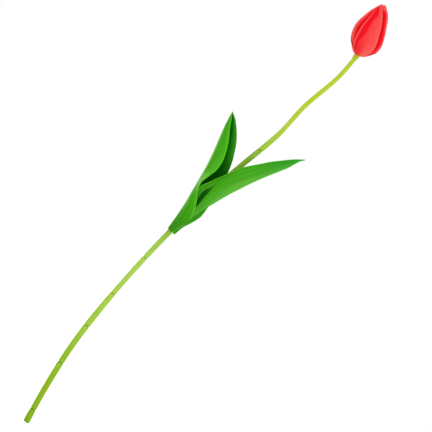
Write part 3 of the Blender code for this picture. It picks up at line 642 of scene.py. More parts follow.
roof = math.degrees(math.acos(BORE_RADIUS / SOCKET_RADIUS))
socket = arc(SOCKET_RADIUS, SOCKET_RADIUS, SOCKET_RIM_ANGLE, roof)
rim_height = socket[0][1]
side_top = COLLAR_LENGTH - COLLAR_ROUND
heights = np.linspace(side_top, rim_height + SOCKET_RIM_WALL / 2, FLARE_STATIONS)
flare = np.interp(heights, (rim_height, side_top), (SOCKET_RADIUS + SOCKET_RIM_WALL, COLLAR_TOP_RADIUS))
top = arc(COLLAR_ROUND, COLLAR_ROUND, 90, 0, (COLLAR_TOP_RADIUS - COLLAR_ROUND, side_top))
profile = marked(top[:-1] + list(zip(flare, heights)), 0.0)
profile += marked(socket + [(BORE_RADIUS, COLLAR_LENGTH)], 1.0)
collar = stem_piece("bud_collar", "head", profile, neck_at, collar_skin, 9)

# %% [markdown]
# ## The collar's cut
# The bud leans more than the stem does. Its collar is cut on that slant, so the petals sit on it all
# round and no wire shows between them.

# %% Where the bud sits, and the cut below it
BUD_SEAT_GAP = 0.75 * MM
BUD_LEAN = math.radians(-12.4)
CUT_CLEARANCE = 0.05 * MM
CUT_DEPTH = 2.0 * MM

bud_up = np.array((math.sin(BUD_LEAN), 0.0, math.cos(BUD_LEAN)))
bud_right = np.array((math.cos(BUD_LEAN), 0.0, -math.sin(BUD_LEAN)))
bud_seat = np.array(stem_point(stem_end + BUD_SEAT_GAP))
collar_end = np.array(stem_point(stem_end))
collar_up = (bud_seat - collar_end) / BUD_SEAT_GAP
for vertex in collar.data.vertices:
    place = np.array(vertex.co)
    height = (place - collar_end) @ collar_up
    flat_place = place - height * collar_up
    stretch = (bud_seat - flat_place) @ bud_up / (collar_up @ bud_up) - CUT_CLEARANCE
    vertex.co = place + stretch * smooth_step(height, -CUT_DEPTH, 0.0) * collar_up
print("the collar is cut at", round(math.degrees(math.acos(collar_up @ bud_up)), 1), "degrees")

# %% [markdown]
# ## A tree that embosses a blade
# Leaves and petals of this kind are cast polyurethane. The mould is made from a real plant, so the
# skin carries its veins, a slightly thicker margin and a fine grain. Those follow the blade and not
# space, so the tree reads two attributes of the sheet: how far across the blade a point lies, from
# -1 at one margin to 1 at the other, and how far along it. It only pushes points along the normal,
# and a Solidify modifier then gives the sheet its wall, with separate materials for the two faces
# and the cut edge.

# %% The tree for veins, margins and grain
# Where along a blade the veins and grain are none and where they are full, at the foot and the tip
RELIEF_FADES = [(0.0, 0.15), (1.0, 0.8)]

emboss_tree, given, end = new_tree("veins and margins of a blade", {
    "Geometry": "Geometry", "Veins": "Float", "Vein Height": "Float", "Margin": "Float",
    "Margin Height": "Float", "Grain Height": "Float", "Grain": "Vector", "Seed": "Float",
    "Material": "Material",
})
tree = emboss_tree
across = add_node(tree, "GeometryNodeInputNamedAttribute", {"Name": "across"}, "Attribute")
along = add_node(tree, "GeometryNodeInputNamedAttribute", {"Name": "along"}, "Attribute")
waves = add_node(tree, "ShaderNodeMath", (across, given["Veins"]), operation="MULTIPLY")
waves = add_node(tree, "ShaderNodeMath", (waves, math.pi), operation="MULTIPLY")
waves = add_node(tree, "ShaderNodeMath", (waves,), operation="COSINE")
fade = 1.0
for none, full in RELIEF_FADES:
    rise = add_node(tree, "ShaderNodeMapRange", {
        "Value": along, "From Min": none, "From Max": full,
    }, interpolation_type="SMOOTHSTEP")
    fade = add_node(tree, "ShaderNodeMath", (fade, rise), operation="MULTIPLY")
veins = add_node(tree, "ShaderNodeMath", (waves, given["Vein Height"]), operation="MULTIPLY")
from_middle = add_node(tree, "ShaderNodeMath", (across,), operation="ABSOLUTE")
inner_end = add_node(tree, "ShaderNodeMath", (1.0, given["Margin"]), operation="SUBTRACT")
margin = add_node(tree, "ShaderNodeMapRange", {
    "Value": from_middle, "From Min": inner_end, "From Max": 1.0, "To Max": given["Margin Height"],
}, interpolation_type="SMOOTHSTEP")
flow = add_node(tree, "ShaderNodeCombineXYZ", (across, along))
flow = add_node(tree, "ShaderNodeVectorMath", (flow, given["Grain"]), operation="MULTIPLY")
noise = add_node(tree, "ShaderNodeTexNoise", {
    "Vector": flow, "W": given["Seed"], "Scale": 1.0, "Detail": 2.0,
}, noise_dimensions="4D")
grain = add_node(tree, "ShaderNodeMath", (noise, 0.5), operation="SUBTRACT")
relief = add_node(tree, "ShaderNodeMath", (grain, given["Grain Height"], veins), operation="MULTIPLY_ADD")
push = add_node(tree, "ShaderNodeMath", (relief, fade, margin), operation="MULTIPLY_ADD")
normal = add_node(tree, "GeometryNodeInputNormal")
offset = add_node(tree, "ShaderNodeVectorMath", {0: normal, "Scale": push}, operation="SCALE")
moved = add_node(tree, "GeometryNodeSetPosition", {"Geometry": given["Geometry"], "Offset": offset})
finish_tree(tree, moved, given["Material"], end)
print(len(tree.nodes), "nodes in", tree.name)

# %% [markdown]
# ## From a sheet to a cast blade
# A blade starts as a grid of points worked out with arrays. Its columns run from one margin to the
# other and its rows from the foot to the tip. The wall thins towards the margins, as it does where
# a mould closes, and towards a petal's tip. A vertex group scales the Solidify modifier for that.

# %% Sheets with attributes, and their walls
WALL = 0.8 * MM
MARGIN_WALL_SHARE = 0.45
FULL_WALL_ACROSS = 0.75
BLADE_SHARP_ANGLE = 60


def sheet_object(name, places, attributes, wall_share):
    """A grid mesh from an array of places, with named point attributes and a thickness group."""
    rows, columns = places.shape[:2]
    corners = np.arange(rows * columns).reshape(rows, columns)
    faces = np.stack([corners[:-1, :-1], corners[:-1, 1:], corners[1:, 1:], corners[1:, :-1]], axis=-1)
    mesh = bpy.data.meshes.new(name + "_sheet")
    mesh.from_pydata(places.reshape(-1, 3).tolist(), [], faces.reshape(-1, 4).tolist())
    for key, values in attributes.items():
        layer = mesh.attributes.new(key, "FLOAT", "POINT")
        layer.data.foreach_set("value", np.asarray(values, np.float32).reshape(-1))
    carrier = add_object(name + "_sheet", mesh)
    group = carrier.vertex_groups.new(name="wall")
    for index, share in enumerate(wall_share.reshape(-1)):
        group.add([index], float(share), "REPLACE")
    build = bmesh.new()
    build.from_mesh(mesh)
    bmesh.ops.remove_doubles(build, verts=build.verts, dist=MERGE_DISTANCE)
    build.to_mesh(mesh)
    build.free()
    return carrier


def wall_shares(across):
    """The full wall over most of the blade, thinning towards its margins."""
    rise = smooth_step(np.abs(across), 1.0, FULL_WALL_ACROSS)
    return MARGIN_WALL_SHARE + (1 - MARGIN_WALL_SHARE) * rise


def cast_blade(carrier, faces, emboss, seed, body, node):
    """Emboss a sheet, give it a wall, and make it a piece. Faces are its three materials."""
    for material in faces:
        carrier.data.materials.append(material)
    add_tree(carrier, emboss_tree, {**emboss, "Seed": seed, "Material": faces[0]})
    wall = carrier.modifiers.new("Wall", "SOLIDIFY")
    wall.thickness = WALL
    wall.offset = -1.0
    wall.vertex_group = "wall"
    wall.material_offset = 1
    wall.material_offset_rim = 2
    add_piece(plain_mesh(node + "_blade", carrier, BLADE_SHARP_ANGLE), body, node)


print("the wall thins to", WALL * MARGIN_WALL_SHARE / MM, "mm at a margin")

# %% [markdown]
# ## Leaf materials
# Soft-touch polyurethane is matt: the light spreads wide over it, and hardly any of it glints. The
# outer face is green with streaks, and the inner face a deep green that is painted shade, lighter
# towards its margins and its foot as painted light. The lime margins are painted highlights.

# %% Cast leaf green, in three finishes
LEAF_GREEN = "#3CA40C"
LEAF_STREAK = "#6CC63C"
# Painted light: the highlight along the outer leaf's fold, and the paler lower margin and foot of the inner
# leaf
LEAF_PALE_LIGHT = "#9CD672"
LEAF_TIP = "#2A9E2C"
# Lime margins are a painted highlight
LEAF_LIME_HIGHLIGHT = "#56CC14"
LEAF_SHADE = "#074E02"
# The inner face's deep green is painted shade, and its lighter green is painted light
LEAF_INSIDE = "#036A01"
LEAF_INSIDE_LIGHT = "#3EAE18"
SOFT_TOUCH = {"Specular IOR Level": 0.04}


def blade_noise(tree, across_count, along_count, detail=2.0):
    """Noise that is stretched along a blade: how many marks it has across it and along it."""
    across = add_node(tree, "ShaderNodeAttribute", output="Fac", attribute_name="across")
    along = add_node(tree, "ShaderNodeAttribute", output="Fac", attribute_name="along")
    place = add_node(tree, "ShaderNodeCombineXYZ", (across, along))
    counts = (across_count, along_count, 1.0)
    place = add_node(tree, "ShaderNodeVectorMath", (place, counts), operation="MULTIPLY")
    return add_node(tree, "ShaderNodeTexNoise", {"Vector": place, "Scale": 1.0, "Detail": detail})


def leaf_outside():
    """The outer face: green with pale streaks, cooler at the tip, with painted light and painted shade, and
    lime margins as painted highlights.
    """
    material, tree, shader = new_material("polyurethane_cast_leaf_outer_face", 0.55, SOFT_TOUCH)
    fine = blade_noise(tree, 16.0, 3.0)
    broad = blade_noise(tree, 4.0, 1.2, 1.0)
    finish_shader(tree, shader, linear(LEAF_GREEN), [
        (fine, LEAF_STREAK, 0.4, 0.7, 0.3), (broad, LEAF_STREAK, 0.42, 0.62, 0.25), ("cool", LEAF_TIP),
        ("pale", LEAF_PALE_LIGHT), ("shade", LEAF_SHADE), ("rim", LEAF_LIME_HIGHLIGHT),
    ], {"Strength": 0.3, "Distance": 0.15 * MM, "Height": fine})
    return material


def leaf_inside():
    """The inner face: a deep green that is painted shade, with darker marks, and painted light towards the
    margins.
    """
    material, tree, shader = new_material("polyurethane_cast_leaf_inner_face", 0.6, SOFT_TOUCH)
    coats = [(blade_noise(tree, 14.0, 4.0), LEAF_SHADE, 0.45, 0.7, 0.3), ("spray", LEAF_INSIDE_LIGHT)]
    finish_shader(tree, shader, linear(LEAF_INSIDE), coats)
    return material


def leaf_margin():
    """The cut edge: green with streaks, and lime where its highlight is painted."""
    material, tree, shader = new_material("polyurethane_cast_leaf_margin", 0.55, SOFT_TOUCH)
    coats = [(blade_noise(tree, 2.0, 20.0), LEAF_STREAK), ("rim", LEAF_LIME_HIGHLIGHT)]
    finish_shader(tree, shader, linear(LEAF_GREEN), coats)
    return material


leaf_faces = [leaf_outside(), leaf_inside(), leaf_margin()]
print("leaf finishes:", [material.name for material in leaf_faces])

# %% [markdown]
# ## The leaves
# Each leaf is a loft between three lines that were read off the photograph in real millimetres: the
# fold down its middle and its two margins. The outer leaf is folded like a gutter round the stem, so
# a point on its way across first turns back and then runs out. The inner leaf is a shallow channel.

# %% Outlines of the leaves, as (sideways, depth, height) in millimetres from the foot of the sheath
LEAF_NODE = 4
SHEATH_HEIGHT_ABOVE_NODE = 32.0 * MM
LEAF_LEAN = math.radians(5.3)
LEAF_SEAT_GAP = 0.25 * MM
LEAF_LAYER_GAP = 0.45 * MM
OUTER_FOLD = [
    (0.2, 0.0, 0), (-1.95, 0.0, 12), (-4.5, 0.2, 24), (-7.8, 0.4, 35.4), (-11.0, 0.6, 46.9),
    (-14.25, 1.0, 58.3), (-19.4, 1.4, 72.7), (-25.1, 1.8, 86.5), (-30.0, 2.0, 99.0), (-33.05, 2.0, 109.0),
]
OUTER_NEAR_EDGE = [
    (1.8, 0.0, 0), (3.1, -0.6, 9), (5.2, -1.1, 17), (3.2, -1.7, 24.5), (-2.5, -2.4, 33.6),
    (-8.9, -3.1, 41.6), (-11.3, -3.6, 47.5), (-10.6, -4.2, 56), (-9.8, -4.4, 63.3), (-11.0, -4.0, 71.4),
    (-14.3, -3.0, 79.1), (-20.2, -1.2, 88.5), (-28.1, 1.6, 97.9), (-32.8, 3.8, 104.2), (-36.6, 6.55, 109.0),
]
OUTER_FAR_EDGE = [
    (4.6, 0.7, 0), (5.4, 1.1, 10), (7.7, 1.6, 18), (9.3, 2.1, 26), (7.9, 2.7, 37),
    (6.6, 3.5, 48), (3.4, 4.1, 58), (-1.5, 4.3, 70), (-5.4, 4.1, 78.4), (-10.6, 3.5, 86.8),
    (-16.3, 2.5, 94.5), (-23.8, 0.9, 101.6), (-30.9, -0.4, 106.7), (-36.6, -1.3, 109.0),
]
INNER_FOLD = [
    (1.75, 0.0, 5), (1.95, 0.0, 15), (1.35, -0.1, 25), (0.55, -0.3, 33), (-0.15, -0.7, 41),
    (-0.65, -1.2, 48), (-0.8, -1.8, 56), (0.6, -2.3, 63), (3.8, -3.0, 72), (9.7, -3.9, 83.5),
    (16.7, -5.0, 95.5), (23.7, -6.1, 107), (30.2, -7.2, 116), (36.5, -8.2, 124.0),
]
INNER_LEFT_EDGE = [
    (0.0, -0.1, 5), (-1.8, -0.3, 15), (-3.8, -0.7, 25), (-6.7, -1.7, 36), (-9.3, -3.1, 45.5),
    (-7.0, -4.1, 52), (-4.5, -4.7, 59), (-1.8, -5.1, 66), (5.1, -5.7, 83.2), (12.4, -6.1, 94.4),
    (17.1, -6.4, 101.8), (22.4, -6.8, 108.6), (27.7, -7.3, 115.3), (33.6, -8.0, 121.6), (36.5, -8.2, 124.0),
]
INNER_RIGHT_EDGE = [
    (3.5, -0.1, 5), (5.0, -0.6, 17), (5.3, -0.9, 25), (6.9, -1.5, 34.3), (8.9, -2.0, 42.4),
    (11.0, -2.4, 51.5), (15.6, -3.0, 67.7), (18.5, -3.6, 76.8), (23.3, -4.6, 90.0), (28.6, -5.7, 102.8),
    (31.8, -6.6, 111.4), (32.9, -7.1, 116.4), (34.3, -7.7, 120.9), (36.5, -8.2, 124.0),
]
CHANNEL_POWER = 1.3
FOLD_POWER = 0.65
LEAF_COLUMNS = 64
LEAF_ROWS = 180

leaf_up = Vector((math.sin(LEAF_LEAN), 0.0, math.cos(LEAF_LEAN)))
leaf_right = Vector((math.cos(LEAF_LEAN), 0.0, -math.sin(LEAF_LEAN)))
leaf_foot = stem_point(nodes_at[LEAF_NODE] + SHEATH_HEIGHT_ABOVE_NODE)
under_leaves = SLEEVE_LOW_RADII[LEAF_NODE:] + SLEEVE_BEAD_RADII[LEAF_NODE:-1]
leaf_seat = (max(under_leaves) + LEAF_SEAT_GAP + WALL) / MM
leaf_layer = (WALL + LEAF_LAYER_GAP) / MM
off_hinge = (leaf_foot - hinges["outer_leaf_flex"]).length
print("the outer leaf's foot is", round(off_hinge / MM, 3), "mm from its hinge")

# %% The two leaves
def shifted(points, sideways, depth):
    """An outline moved to the side and in depth, both in millimetres."""
    return [(x + sideways, y + depth, z) for x, y, z in points]


def leaf_places(fold, left_edge, right_edge, roundness):
    """Places of a blade's points, lofted from its fold to its edges, with across and along."""
    along = np.linspace(0, 1, LEAF_ROWS + 1)
    across = np.linspace(-1, 1, LEAF_COLUMNS + 1)
    middle, left, right = (smooth_curve(line, along) for line in (fold, left_edge, right_edge))
    share = np.abs(across)
    turn = share * math.pi / 2
    spread = share + (1 - np.cos(turn) - share) * roundness
    channel = share**CHANNEL_POWER
    depth = channel + (np.sin(turn) ** FOLD_POWER - channel) * roundness
    weights = np.stack([spread, depth, spread], axis=-1)[None]
    edges = np.where((across < 0)[None, :, None], left[:, None], right[:, None])
    local = middle[:, None] + (edges - middle[:, None]) * weights
    world = np.array(leaf_foot) + (
        local[..., :1] * np.array(leaf_right) + local[..., 2:] * np.array(leaf_up)
    ) * MM
    world[..., 1] += local[..., 1] * MM
    grid = local.shape[:2]
    return world, np.broadcast_to(across, grid), np.broadcast_to(along[:, None], grid)


LEAF_EMBOSS = {
    "Veins": 12.0, "Vein Height": 0.05 * MM, "Margin": 0.07, "Margin Height": 0.18 * MM,
    "Grain Height": 0.5 * MM, "Grain": (4.0, 7.0, 0.0),
}

# Where along the outer leaf the painted highlight along its fold is widened, and how far that reaches
PINCH_PLACE = 0.43
PINCH_REACH = 0.12


def cast_leaf(node, body, seed, places, attributes):
    """A leaf from its places and the attributes of its points."""
    carrier = sheet_object(node, places, attributes, wall_shares(attributes["across"]))
    cast_blade(carrier, leaf_faces, LEAF_EMBOSS, seed, body, node)


# A leaf's paints are shares from 0 to 1. In each step, the first number is where along or across the
# leaf the paint starts, and the second where it is full.
places, across, along = leaf_places(
    shifted(OUTER_FOLD, -leaf_seat, 0.0), shifted(OUTER_FAR_EDGE, 0.0, leaf_seat),
    shifted(OUTER_NEAR_EDGE, 0.0, -leaf_seat - leaf_layer), 1.0,
)
# Painted light and shade on the outer leaf: the pale coat along its fold is a highlight, the lime rim a
# highlight on its margins, the shade at its foot painted shade, and the lighter coat on its inner face
# painted light
fold_highlight = 0.6 * smooth_step(np.abs(across), 0.42, 0.15) * smooth_step(along, 0.12, 0.3)
pinch_highlight = 0.55 * smooth_step(across, 0.1, 0.3) * smooth_step(np.abs(along - PINCH_PLACE), PINCH_REACH, 0.0)
far_margin_light = 0.8 * smooth_step(across, -0.72, -1.0) * smooth_step(along, 0.50, 0.72)
cast_leaf("leaf_outer", "outer_leaf_body", 1.0, places, {
    "across": across,
    "along": along,
    "rim": smooth_step(np.abs(across), 0.90, 0.96) * smooth_step(along, 0.13, 0.22),
    "shade": 0.4 * smooth_step(along, 0.28, 0.0),
    "pale": np.maximum(fold_highlight, pinch_highlight),
    "spray": np.maximum(far_margin_light, smooth_step(along, 0.36, 0.28)),
})

places, across, along = leaf_places(
    shifted(INNER_FOLD, 0.0, -leaf_seat), shifted(INNER_LEFT_EDGE, 0.0, -leaf_seat),
    shifted(INNER_RIGHT_EDGE, 0.0, -leaf_seat), 0.0,
)
# Painted light and shade on the inner leaf: the shade in its crease and on the flap is painted shade, the
# pale coat towards its lower margin and foot and the lighter coat on its inner face are painted light, and
# the lime rim a highlight
crease_width = 0.14 + 0.40 * smooth_step(along, 0.42, 0.26)
crease = smooth_step(across, 0.02, -0.08) * smooth_step(across + crease_width, -0.14, 0.06)
crease = crease * smooth_step(along, 0.46, 0.30) * smooth_step(along, 0.10, 0.2)
flap = 0.3 * smooth_step(across, -0.05, -0.3) * smooth_step(along, 0.62, 0.44)
cast_leaf("leaf_inner", "inner_leaf_body", 2.0, places, {
    "across": across,
    "along": along,
    "rim": smooth_step(np.abs(across), 0.92, 0.97) * smooth_step(along, 0.13, 0.22),
    "cool": 0.7 * smooth_step(along, 0.55, 0.95),
    "shade": np.maximum(crease, flap),
    "pale": np.maximum(0.18 * smooth_step(across, 0.2, 0.95), 0.55 * smooth_step(along, 0.24, 0.14)),
    "spray": smooth_step(np.abs(across), 0.5, 1.0),
})

# %% [markdown]
# ## Petal materials
# The petals are cast like the leaves, in a clear red. A deeper red is painted into the hollows beside
# the raised middle as their shade, and a darker red is painted shadow beside the front petal and on
# the inner faces. A paler red is painted light on the lit parts, and highlights on the margins. Noise
# breaks the deep red up into small marks, as the short veins in the hollows do.

# %% Cast petal red
PETAL_RED = "#FF3C40"
# Deep red: painted shade in the hollows and beside the front petal, and fine marks
PETAL_DEEP = "#FC0420"
# Painted shade beside the front petal and on the inner faces
PETAL_DARK_SHADE = "#EC0014"
# Painted light on the lit parts and the tips, and highlights on the margins
PETAL_PALE_LIGHT = "#FF6E62"


def petal_finish(name, inner_face_shade):
    """A petal's face: red, with painted shade deeper in its hollows and broken up there by marks, painted
    light, and a pale painted highlight at its rim.
    """
    material, tree, shader = new_material(name, 0.55, SOFT_TOUCH)
    broken = add_node(tree, "ShaderNodeMapRange", {
        "Value": blade_noise(tree, 22.0, 30.0, 3.0), "From Min": 0.38, "From Max": 0.6, "To Min": 0.8,
    }, interpolation_type="SMOOTHSTEP")
    deep = add_node(tree, "ShaderNodeAttribute", output="Fac", attribute_name="deep")
    deep_share = add_node(tree, "ShaderNodeMath", (deep, broken), operation="MULTIPLY")
    fine = blade_noise(tree, 30.0, 3.0)
    finish_shader(tree, shader, linear(PETAL_RED), [
        ("warm", PETAL_PALE_LIGHT), (deep_share, PETAL_DEEP), (fine, PETAL_DEEP, 0.5, 0.75, 0.25),
        ("dark", PETAL_DARK_SHADE), (inner_face_shade, PETAL_DARK_SHADE), ("rim", PETAL_PALE_LIGHT),
    ], {"Strength": 0.35, "Distance": 0.12 * MM, "Height": fine})
    return material


# The inner faces are darkened as painted shade
petal_faces = [
    petal_finish("polyurethane_cast_petal_outer_face", 0.0),
    petal_finish("polyurethane_cast_petal_inner_face", 0.75),
    petal_finish("polyurethane_cast_petal_margin", 0.0),
]
print("petal finishes:", [material.name for material in petal_faces])

# %% [markdown]
# ## The bud
# The bud's outline is one curve of radius against height. A petal is a strip of the surface that
# this outline sweeps round the bud's axis, between two margins that are angles at each height. Its
# relief is then added to the radius: a raised middle, a hollow beside it, and a lip at the margin.
# The closed bud twists at its tip, and its inner petals rise to the outline between the outer ones.
# At the very tip the walls thin, and the inner petals also lift a little.

# %% The bud's frame and outline
BUD_LENGTH = 48.9 * MM
BUD_RADIUS = 14.1 * MM
BUD_SEAT_RADIUS = 2.75 * MM
BELLY_SHIFT = 1.15 * MM
BELLY_SHARE = 0.48
BELLY_POWER = 0.7
PETAL_GAP = 0.35 * MM
PETAL_ROW_POWER = 1.35
BUD_OUTLINE = [
    (0.025, 0.37), (0.10, 0.65), (0.165, 0.82), (0.25, 0.935), (0.37, 1.00),
    (0.45, 0.98), (0.55, 0.91), (0.675, 0.77), (0.80, 0.60), (0.88, 0.44), (0.95, 0.25), (1.00, 0.10),
]
PETAL_COLUMNS = 56
PETAL_ROWS = 84
OUTLINE_STEP = 0.01


def bud_outline(shares, inset):
    """Radii and heights of the outline at shares of its length, moved inwards by an inset."""
    real = [(0.0, BUD_SEAT_RADIUS)] + [(h * BUD_LENGTH, r * BUD_RADIUS) for h, r in BUD_OUTLINE]
    here = smooth_curve(real, shares)
    ahead = smooth_curve(real, np.minimum(shares + OUTLINE_STEP, 1.0))
    behind = smooth_curve(real, np.maximum(shares - OUTLINE_STEP, 0.0))
    way = (ahead - behind) / np.linalg.norm(ahead - behind, axis=1)[:, None]
    return here[:, 1] - inset * way[:, 0], here[:, 0] + inset * way[:, 1]


def bud_places(radius, angle, height):
    """Places in the bud, from arrays of radii, angles in degrees from the front, and heights."""
    turn = np.radians(angle)
    share = np.clip(height / BUD_LENGTH / BELLY_SHARE, 0, 1)
    belly = BELLY_SHIFT * np.sin(math.pi * share**BELLY_POWER)
    places = bud_seat + (radius * np.sin(turn) + belly)[..., None] * bud_right + height[..., None] * bud_up
    places[..., 1] -= radius * np.cos(turn)
    return places


print("the bud is", BUD_LENGTH / MM, "mm long and", 2 * BUD_RADIUS / MM, "mm wide")

# %% Margins of the petals
# Half of the angle that an outer petal covers round the bud, in degrees, at shares of its outline
OUTER_HALF_ANGLES = [
    (0.00, 57.0), (0.14, 57.0), (0.25, 49.0), (0.32, 45.0), (0.41, 40.0), (0.51, 38.0),
    (0.63, 35.0), (0.72, 31.5), (0.80, 30.5), (0.92, 26.0), (1.00, 0.0),
]

# An outer petal's middle angle, and what its left and right margins keep of the half angle
OUTER_PETALS = {
    "outer_petal_front": (0.0, 1.0, 0.89),
    "outer_petal_left": (-120.0, 1.0, 0.55),
    "outer_petal_right": (120.0, 0.55, 1.0),
}
CUT_BACK_FROM = 0.06
CUT_BACK_TO = 0.30
TIP_TWIST = -58.0
TWIST_START = 0.5
TWIST_POWER = 3.5

# An inner petal's middle angle, and the angles from the front out to which the front petal's shadow is
# painted on it, low and high
INNER_PETALS = {
    "inner_petal_left": (-60.0, 54.0, 44.0),
    "inner_petal_right": (60.0, 60.0, 46.0),
    "inner_petal_back": (180.0, 0.0, 0.0),
}
INNER_HALF_ANGLE = 57.0
INNER_REACH = 0.99
INNER_TIP_POWER = 40

# How far an inner petal rises in the gap between two outer ones, how far from their margins it
# starts and ends to rise, and by what share that groove is narrower near the foot and the tip
INNER_RISE = 0.95 * MM
RISE_START = 0.4 * MM
RISE_LENGTH = 1.4 * MM
GROOVE_NARROWING = 0.6

# The share of its rise by which it is also lifted at the tip
TIP_LIFT = 0.8


def twist(share):
    """How far the bud has turned at shares of its outline, in degrees."""
    return TIP_TWIST * np.maximum((share - TWIST_START) / (1 - TWIST_START), 0) ** TWIST_POWER


def outer_margins(petal, share):
    """Angles of an outer petal's left and right margins at shares of the bud's outline."""
    middle, left_share, right_share = petal
    half = np.interp(share, *zip(*OUTER_HALF_ANGLES))
    cut = smooth_step(share, CUT_BACK_FROM, CUT_BACK_TO)
    middle = middle + twist(share)
    return middle - half * (1 - (1 - left_share) * cut), middle + half * (1 - (1 - right_share) * cut)


def gap_beside(angle, share, radius):
    """How far inside the gap between two outer petals each point lies, along the bud's surface."""
    nearest = np.full(angle.shape, 360.0)
    for petal in OUTER_PETALS.values():
        left, right = outer_margins(petal, share)
        off_middle = np.abs((angle - (left + right) / 2 + 180) % 360 - 180)
        nearest = np.minimum(nearest, off_middle - (right - left) / 2)
    return np.radians(nearest) * radius


print("the tips turn by", TIP_TWIST, "degrees")

# %% The six petals
RAISED_MIDDLE = 0.35 * MM
HOLLOW_DEPTH = 0.35 * MM
HOLLOW_PLACE = 0.63
LIP = 0.25 * MM

# The share of the wall that is left at the tip, and the share of the outline over which it thins
TIP_WALL = 0.3
TIP_TAPER = 0.06
PETAL_EMBOSS = {
    "Veins": 16.0, "Vein Height": 0.03 * MM, "Margin": 0.08, "Margin Height": 0.10 * MM,
    "Grain Height": 0.35 * MM, "Grain": (3.0, 5.0, 0.0),
}
row_shares = np.linspace(0, 1, PETAL_ROWS + 1)[:, None] ** PETAL_ROW_POWER
across = np.linspace(-1, 1, PETAL_COLUMNS + 1)[None] + 0 * row_shares


def hump(value, middle, width):
    """1 in the middle, and falling off softly on both sides."""
    return np.exp(-(((value - middle) / width) ** 2))


def outline_rows(share, inset):
    """Radii and heights of the outline for all points of a petal, whose rows lie along it."""
    radius, height = bud_outline(share[:, 0], inset)
    return radius[:, None] + 0 * across, height[:, None] + 0 * across


def petal_object(name, radius, angle, height, paint):
    """A petal's sheet, with its attributes for relief and paint."""
    attributes = {"across": across, "along": height / BUD_LENGTH, **paint}
    tip_rise = smooth_step(row_shares, 1.0, 1 - TIP_TAPER)
    walls = wall_shares(across) * (TIP_WALL + (1 - TIP_WALL) * tip_rise)
    return sheet_object(name, bud_places(radius, angle, height), attributes, walls)


# In each step of a petal's relief and paint, the first number is where it starts and the second
# where it is full: a share of the outline, or of the way from the middle of the petal to its margin
def outer_relief(share, hollows):
    """How far an outer petal lies outside the outline. Hollows are the depths of its two, as shares."""
    body = smooth_step(share, 0.05, 0.25) * smooth_step(share, 0.98, 0.80)
    drift = 0.25 * smooth_step(share, 0.55, 0.85)
    width = 0.18 + 0.10 * smooth_step(share, 0.5, 0.85)
    left_hollow = hollows[0] * hump(across, -HOLLOW_PLACE + drift, width)
    right_hollow = hollows[1] * hump(across, HOLLOW_PLACE, width)
    lip = smooth_step(np.abs(across), 0.82, 1.0)
    relief = RAISED_MIDDLE * hump(across, 0.0, 0.45) - HOLLOW_DEPTH * (left_hollow + right_hollow) + LIP * lip
    return relief * body


def outer_paint(share, hollows):
    """The paints of an outer petal. Deep red, as painted shade, fills its hollows and reaches inwards from
    them. Painted light lies over its middle and right side, and a highlight at its margins.
    """
    reach = 0.62 - 0.34 * smooth_step(share, 0.20, 0.45) - 0.38 * smooth_step(share, 0.63, 0.76)
    # Deep red as painted shade in the hollows, and low on the left
    spray = 0.0
    for side, depth in zip((-1, 1), hollows):
        inside_lip = smooth_step(side * across, 0.89, 0.80)
        spray = spray + depth * inside_lip * smooth_step(side * across, reach - 0.10, reach + 0.06)
    spray = spray * smooth_step(share, 0.91, 0.87) * smooth_step(share, 0.02, 0.12)
    low_shade = 0.45 * hump(across, -0.3, 0.35) * smooth_step(share, 0.32, 0.15)
    return {
        "deep": spray + low_shade,
        "warm": (0.55 + 0.4 * smooth_step(share, 0.3, 0.1)) * smooth_step(across, -0.4, 0.9),
        "rim": 0.75 * smooth_step(np.abs(across), 0.88, 0.95) * smooth_step(share, 0.95, 0.7),
    }


def outer_petal(name, petal, hollows):
    """An outer petal's sheet, between its two margins."""
    share = row_shares + 0 * across
    radius, height = outline_rows(share, 0.0)
    left, right = outer_margins(petal, share)
    angle = left + (across + 1) / 2 * (right - left)
    radius = radius + outer_relief(share, hollows)
    return petal_object(name, radius, angle, height, outer_paint(share, hollows))


def inner_petal(name, middle, low_reach, high_reach):
    """An inner petal's sheet, which lies under the outer ones and rises in the gap between them."""
    share = row_shares * INNER_REACH + 0 * across
    radius, height = outline_rows(share, WALL + PETAL_GAP)
    half = INNER_HALF_ANGLE * np.sqrt(np.maximum(1 - row_shares**INNER_TIP_POWER, 0))
    angle = middle + twist(share) + across * half
    gap = gap_beside(angle, share, radius)
    tight = 1 - GROOVE_NARROWING * (smooth_step(share, 0.30, 0.12) + smooth_step(share, 0.84, 0.94))
    rise = INNER_RISE * smooth_step(gap, RISE_START * tight, (RISE_START + RISE_LENGTH) * tight)
    reach = low_reach + (high_reach - low_reach) * smooth_step(share, 0.4, 0.8)
    beyond = np.abs((angle + 180) % 360 - 180) - reach
    below_tip = smooth_step(share, 0.91, 0.84)
    # Near the front, deep and dark red are the painted shadow of the front petal; further round and at the
    # tip, painted light
    paint = {
        "deep": smooth_step(beyond, 12, 0) * below_tip,
        "dark": smooth_step(beyond, 4, -8) * below_tip,
        "warm": np.maximum(0.75 * smooth_step(beyond, 2, 34), 0.5 - 0.5 * below_tip),
    }
    lift = TIP_LIFT * rise * smooth_step(share, 0.85, 0.97)
    return petal_object(name, radius + rise, angle, height + lift, paint)


for seed, (node, petal) in enumerate(INNER_PETALS.items(), 3):
    carrier = inner_petal(node, *petal)
    cast_blade(carrier, petal_faces, PETAL_EMBOSS, float(seed), "head", node)

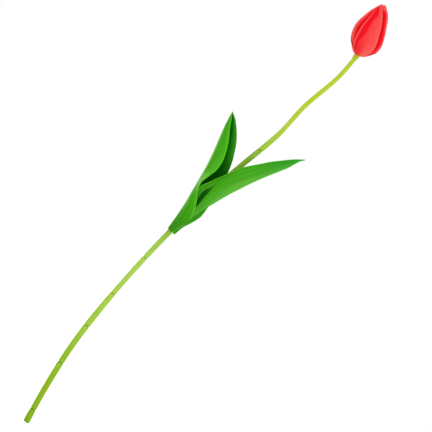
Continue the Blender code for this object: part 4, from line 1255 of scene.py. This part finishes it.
# How deep an outer petal's left and right hollows are, as shares of the full depth
HOLLOWS = {"outer_petal_front": (1.0, 0.15), "outer_petal_left": (0.8, 0.8), "outer_petal_right": (0.8, 0.8)}
for seed, (node, petal) in enumerate(OUTER_PETALS.items(), 6):
    carrier = outer_petal(node, petal, HOLLOWS[node])
    cast_blade(carrier, petal_faces, PETAL_EMBOSS, float(seed), node + "_body", node)

# %% [markdown]
# ## What is hidden
# The wire, the plug and the foam core keep their CAD solids, which have the right shape. They show
# only between the petals or where a sleeve gapes, and get plain but real finishes: drawn steel with
# a zinc coat, moulded polyethylene, and foam with fine cells.

# %% Wire, plug and foam
WIRE_GRAIN = 0.15 * MM
FOAM_CELL = 0.9 * MM
FOAM_RELIEF = 0.3 * MM


def hidden_finish(name, roughness, texture, mark_size, colours, settings=None, relief=None):
    """Two colours mixed by the marks of a texture that fills the piece, and its relief if it has one."""
    material, tree, shader = new_material(name, roughness, settings)
    place = add_node(tree, "ShaderNodeTexCoord", output="Object")
    marks = add_node(tree, texture, {"Vector": place, "Scale": 1 / mark_size})
    bump = {"Distance": relief, "Height": marks} if relief else None
    finish_shader(tree, shader, linear(colours[0]), [(marks, colours[1])], bump)
    return material


zinc = hidden_finish(
    "steel_wire_zinc_plated", 0.35, "ShaderNodeTexNoise", WIRE_GRAIN, ("#9A9CA0", "#C4C6C9"),
    settings={"Metallic": 1.0},
)
foam = hidden_finish(
    "polyurethane_foam_open_cell", 0.95, "ShaderNodeTexVoronoi", FOAM_CELL, ("#F0E4CC", "#C9B894"),
    relief=FOAM_RELIEF,
)
plug = hidden_finish(
    "polyethylene_moulded_plug", 0.45, "ShaderNodeTexNoise", BLOTCH_SIZE, ("#8A7A10", "#A08C14"),
)
finishes = {"bud_foam_core": foam, "bud_receptacle": plug}
for name, node in frame["nodes"].items():
    material = zinc if name.startswith("wire_core") else finishes.get(name)
    if material:
        for slot in node.material_slots:
            slot.material = material
print("kept CAD nodes:", [name for name, node in frame["nodes"].items() if not node.hide_render])

# %% [markdown]
# ## Finish
# The centreline was only a guide for the stem, and is removed.

# %% Removing the centreline
bpy.data.objects.remove(centreline)
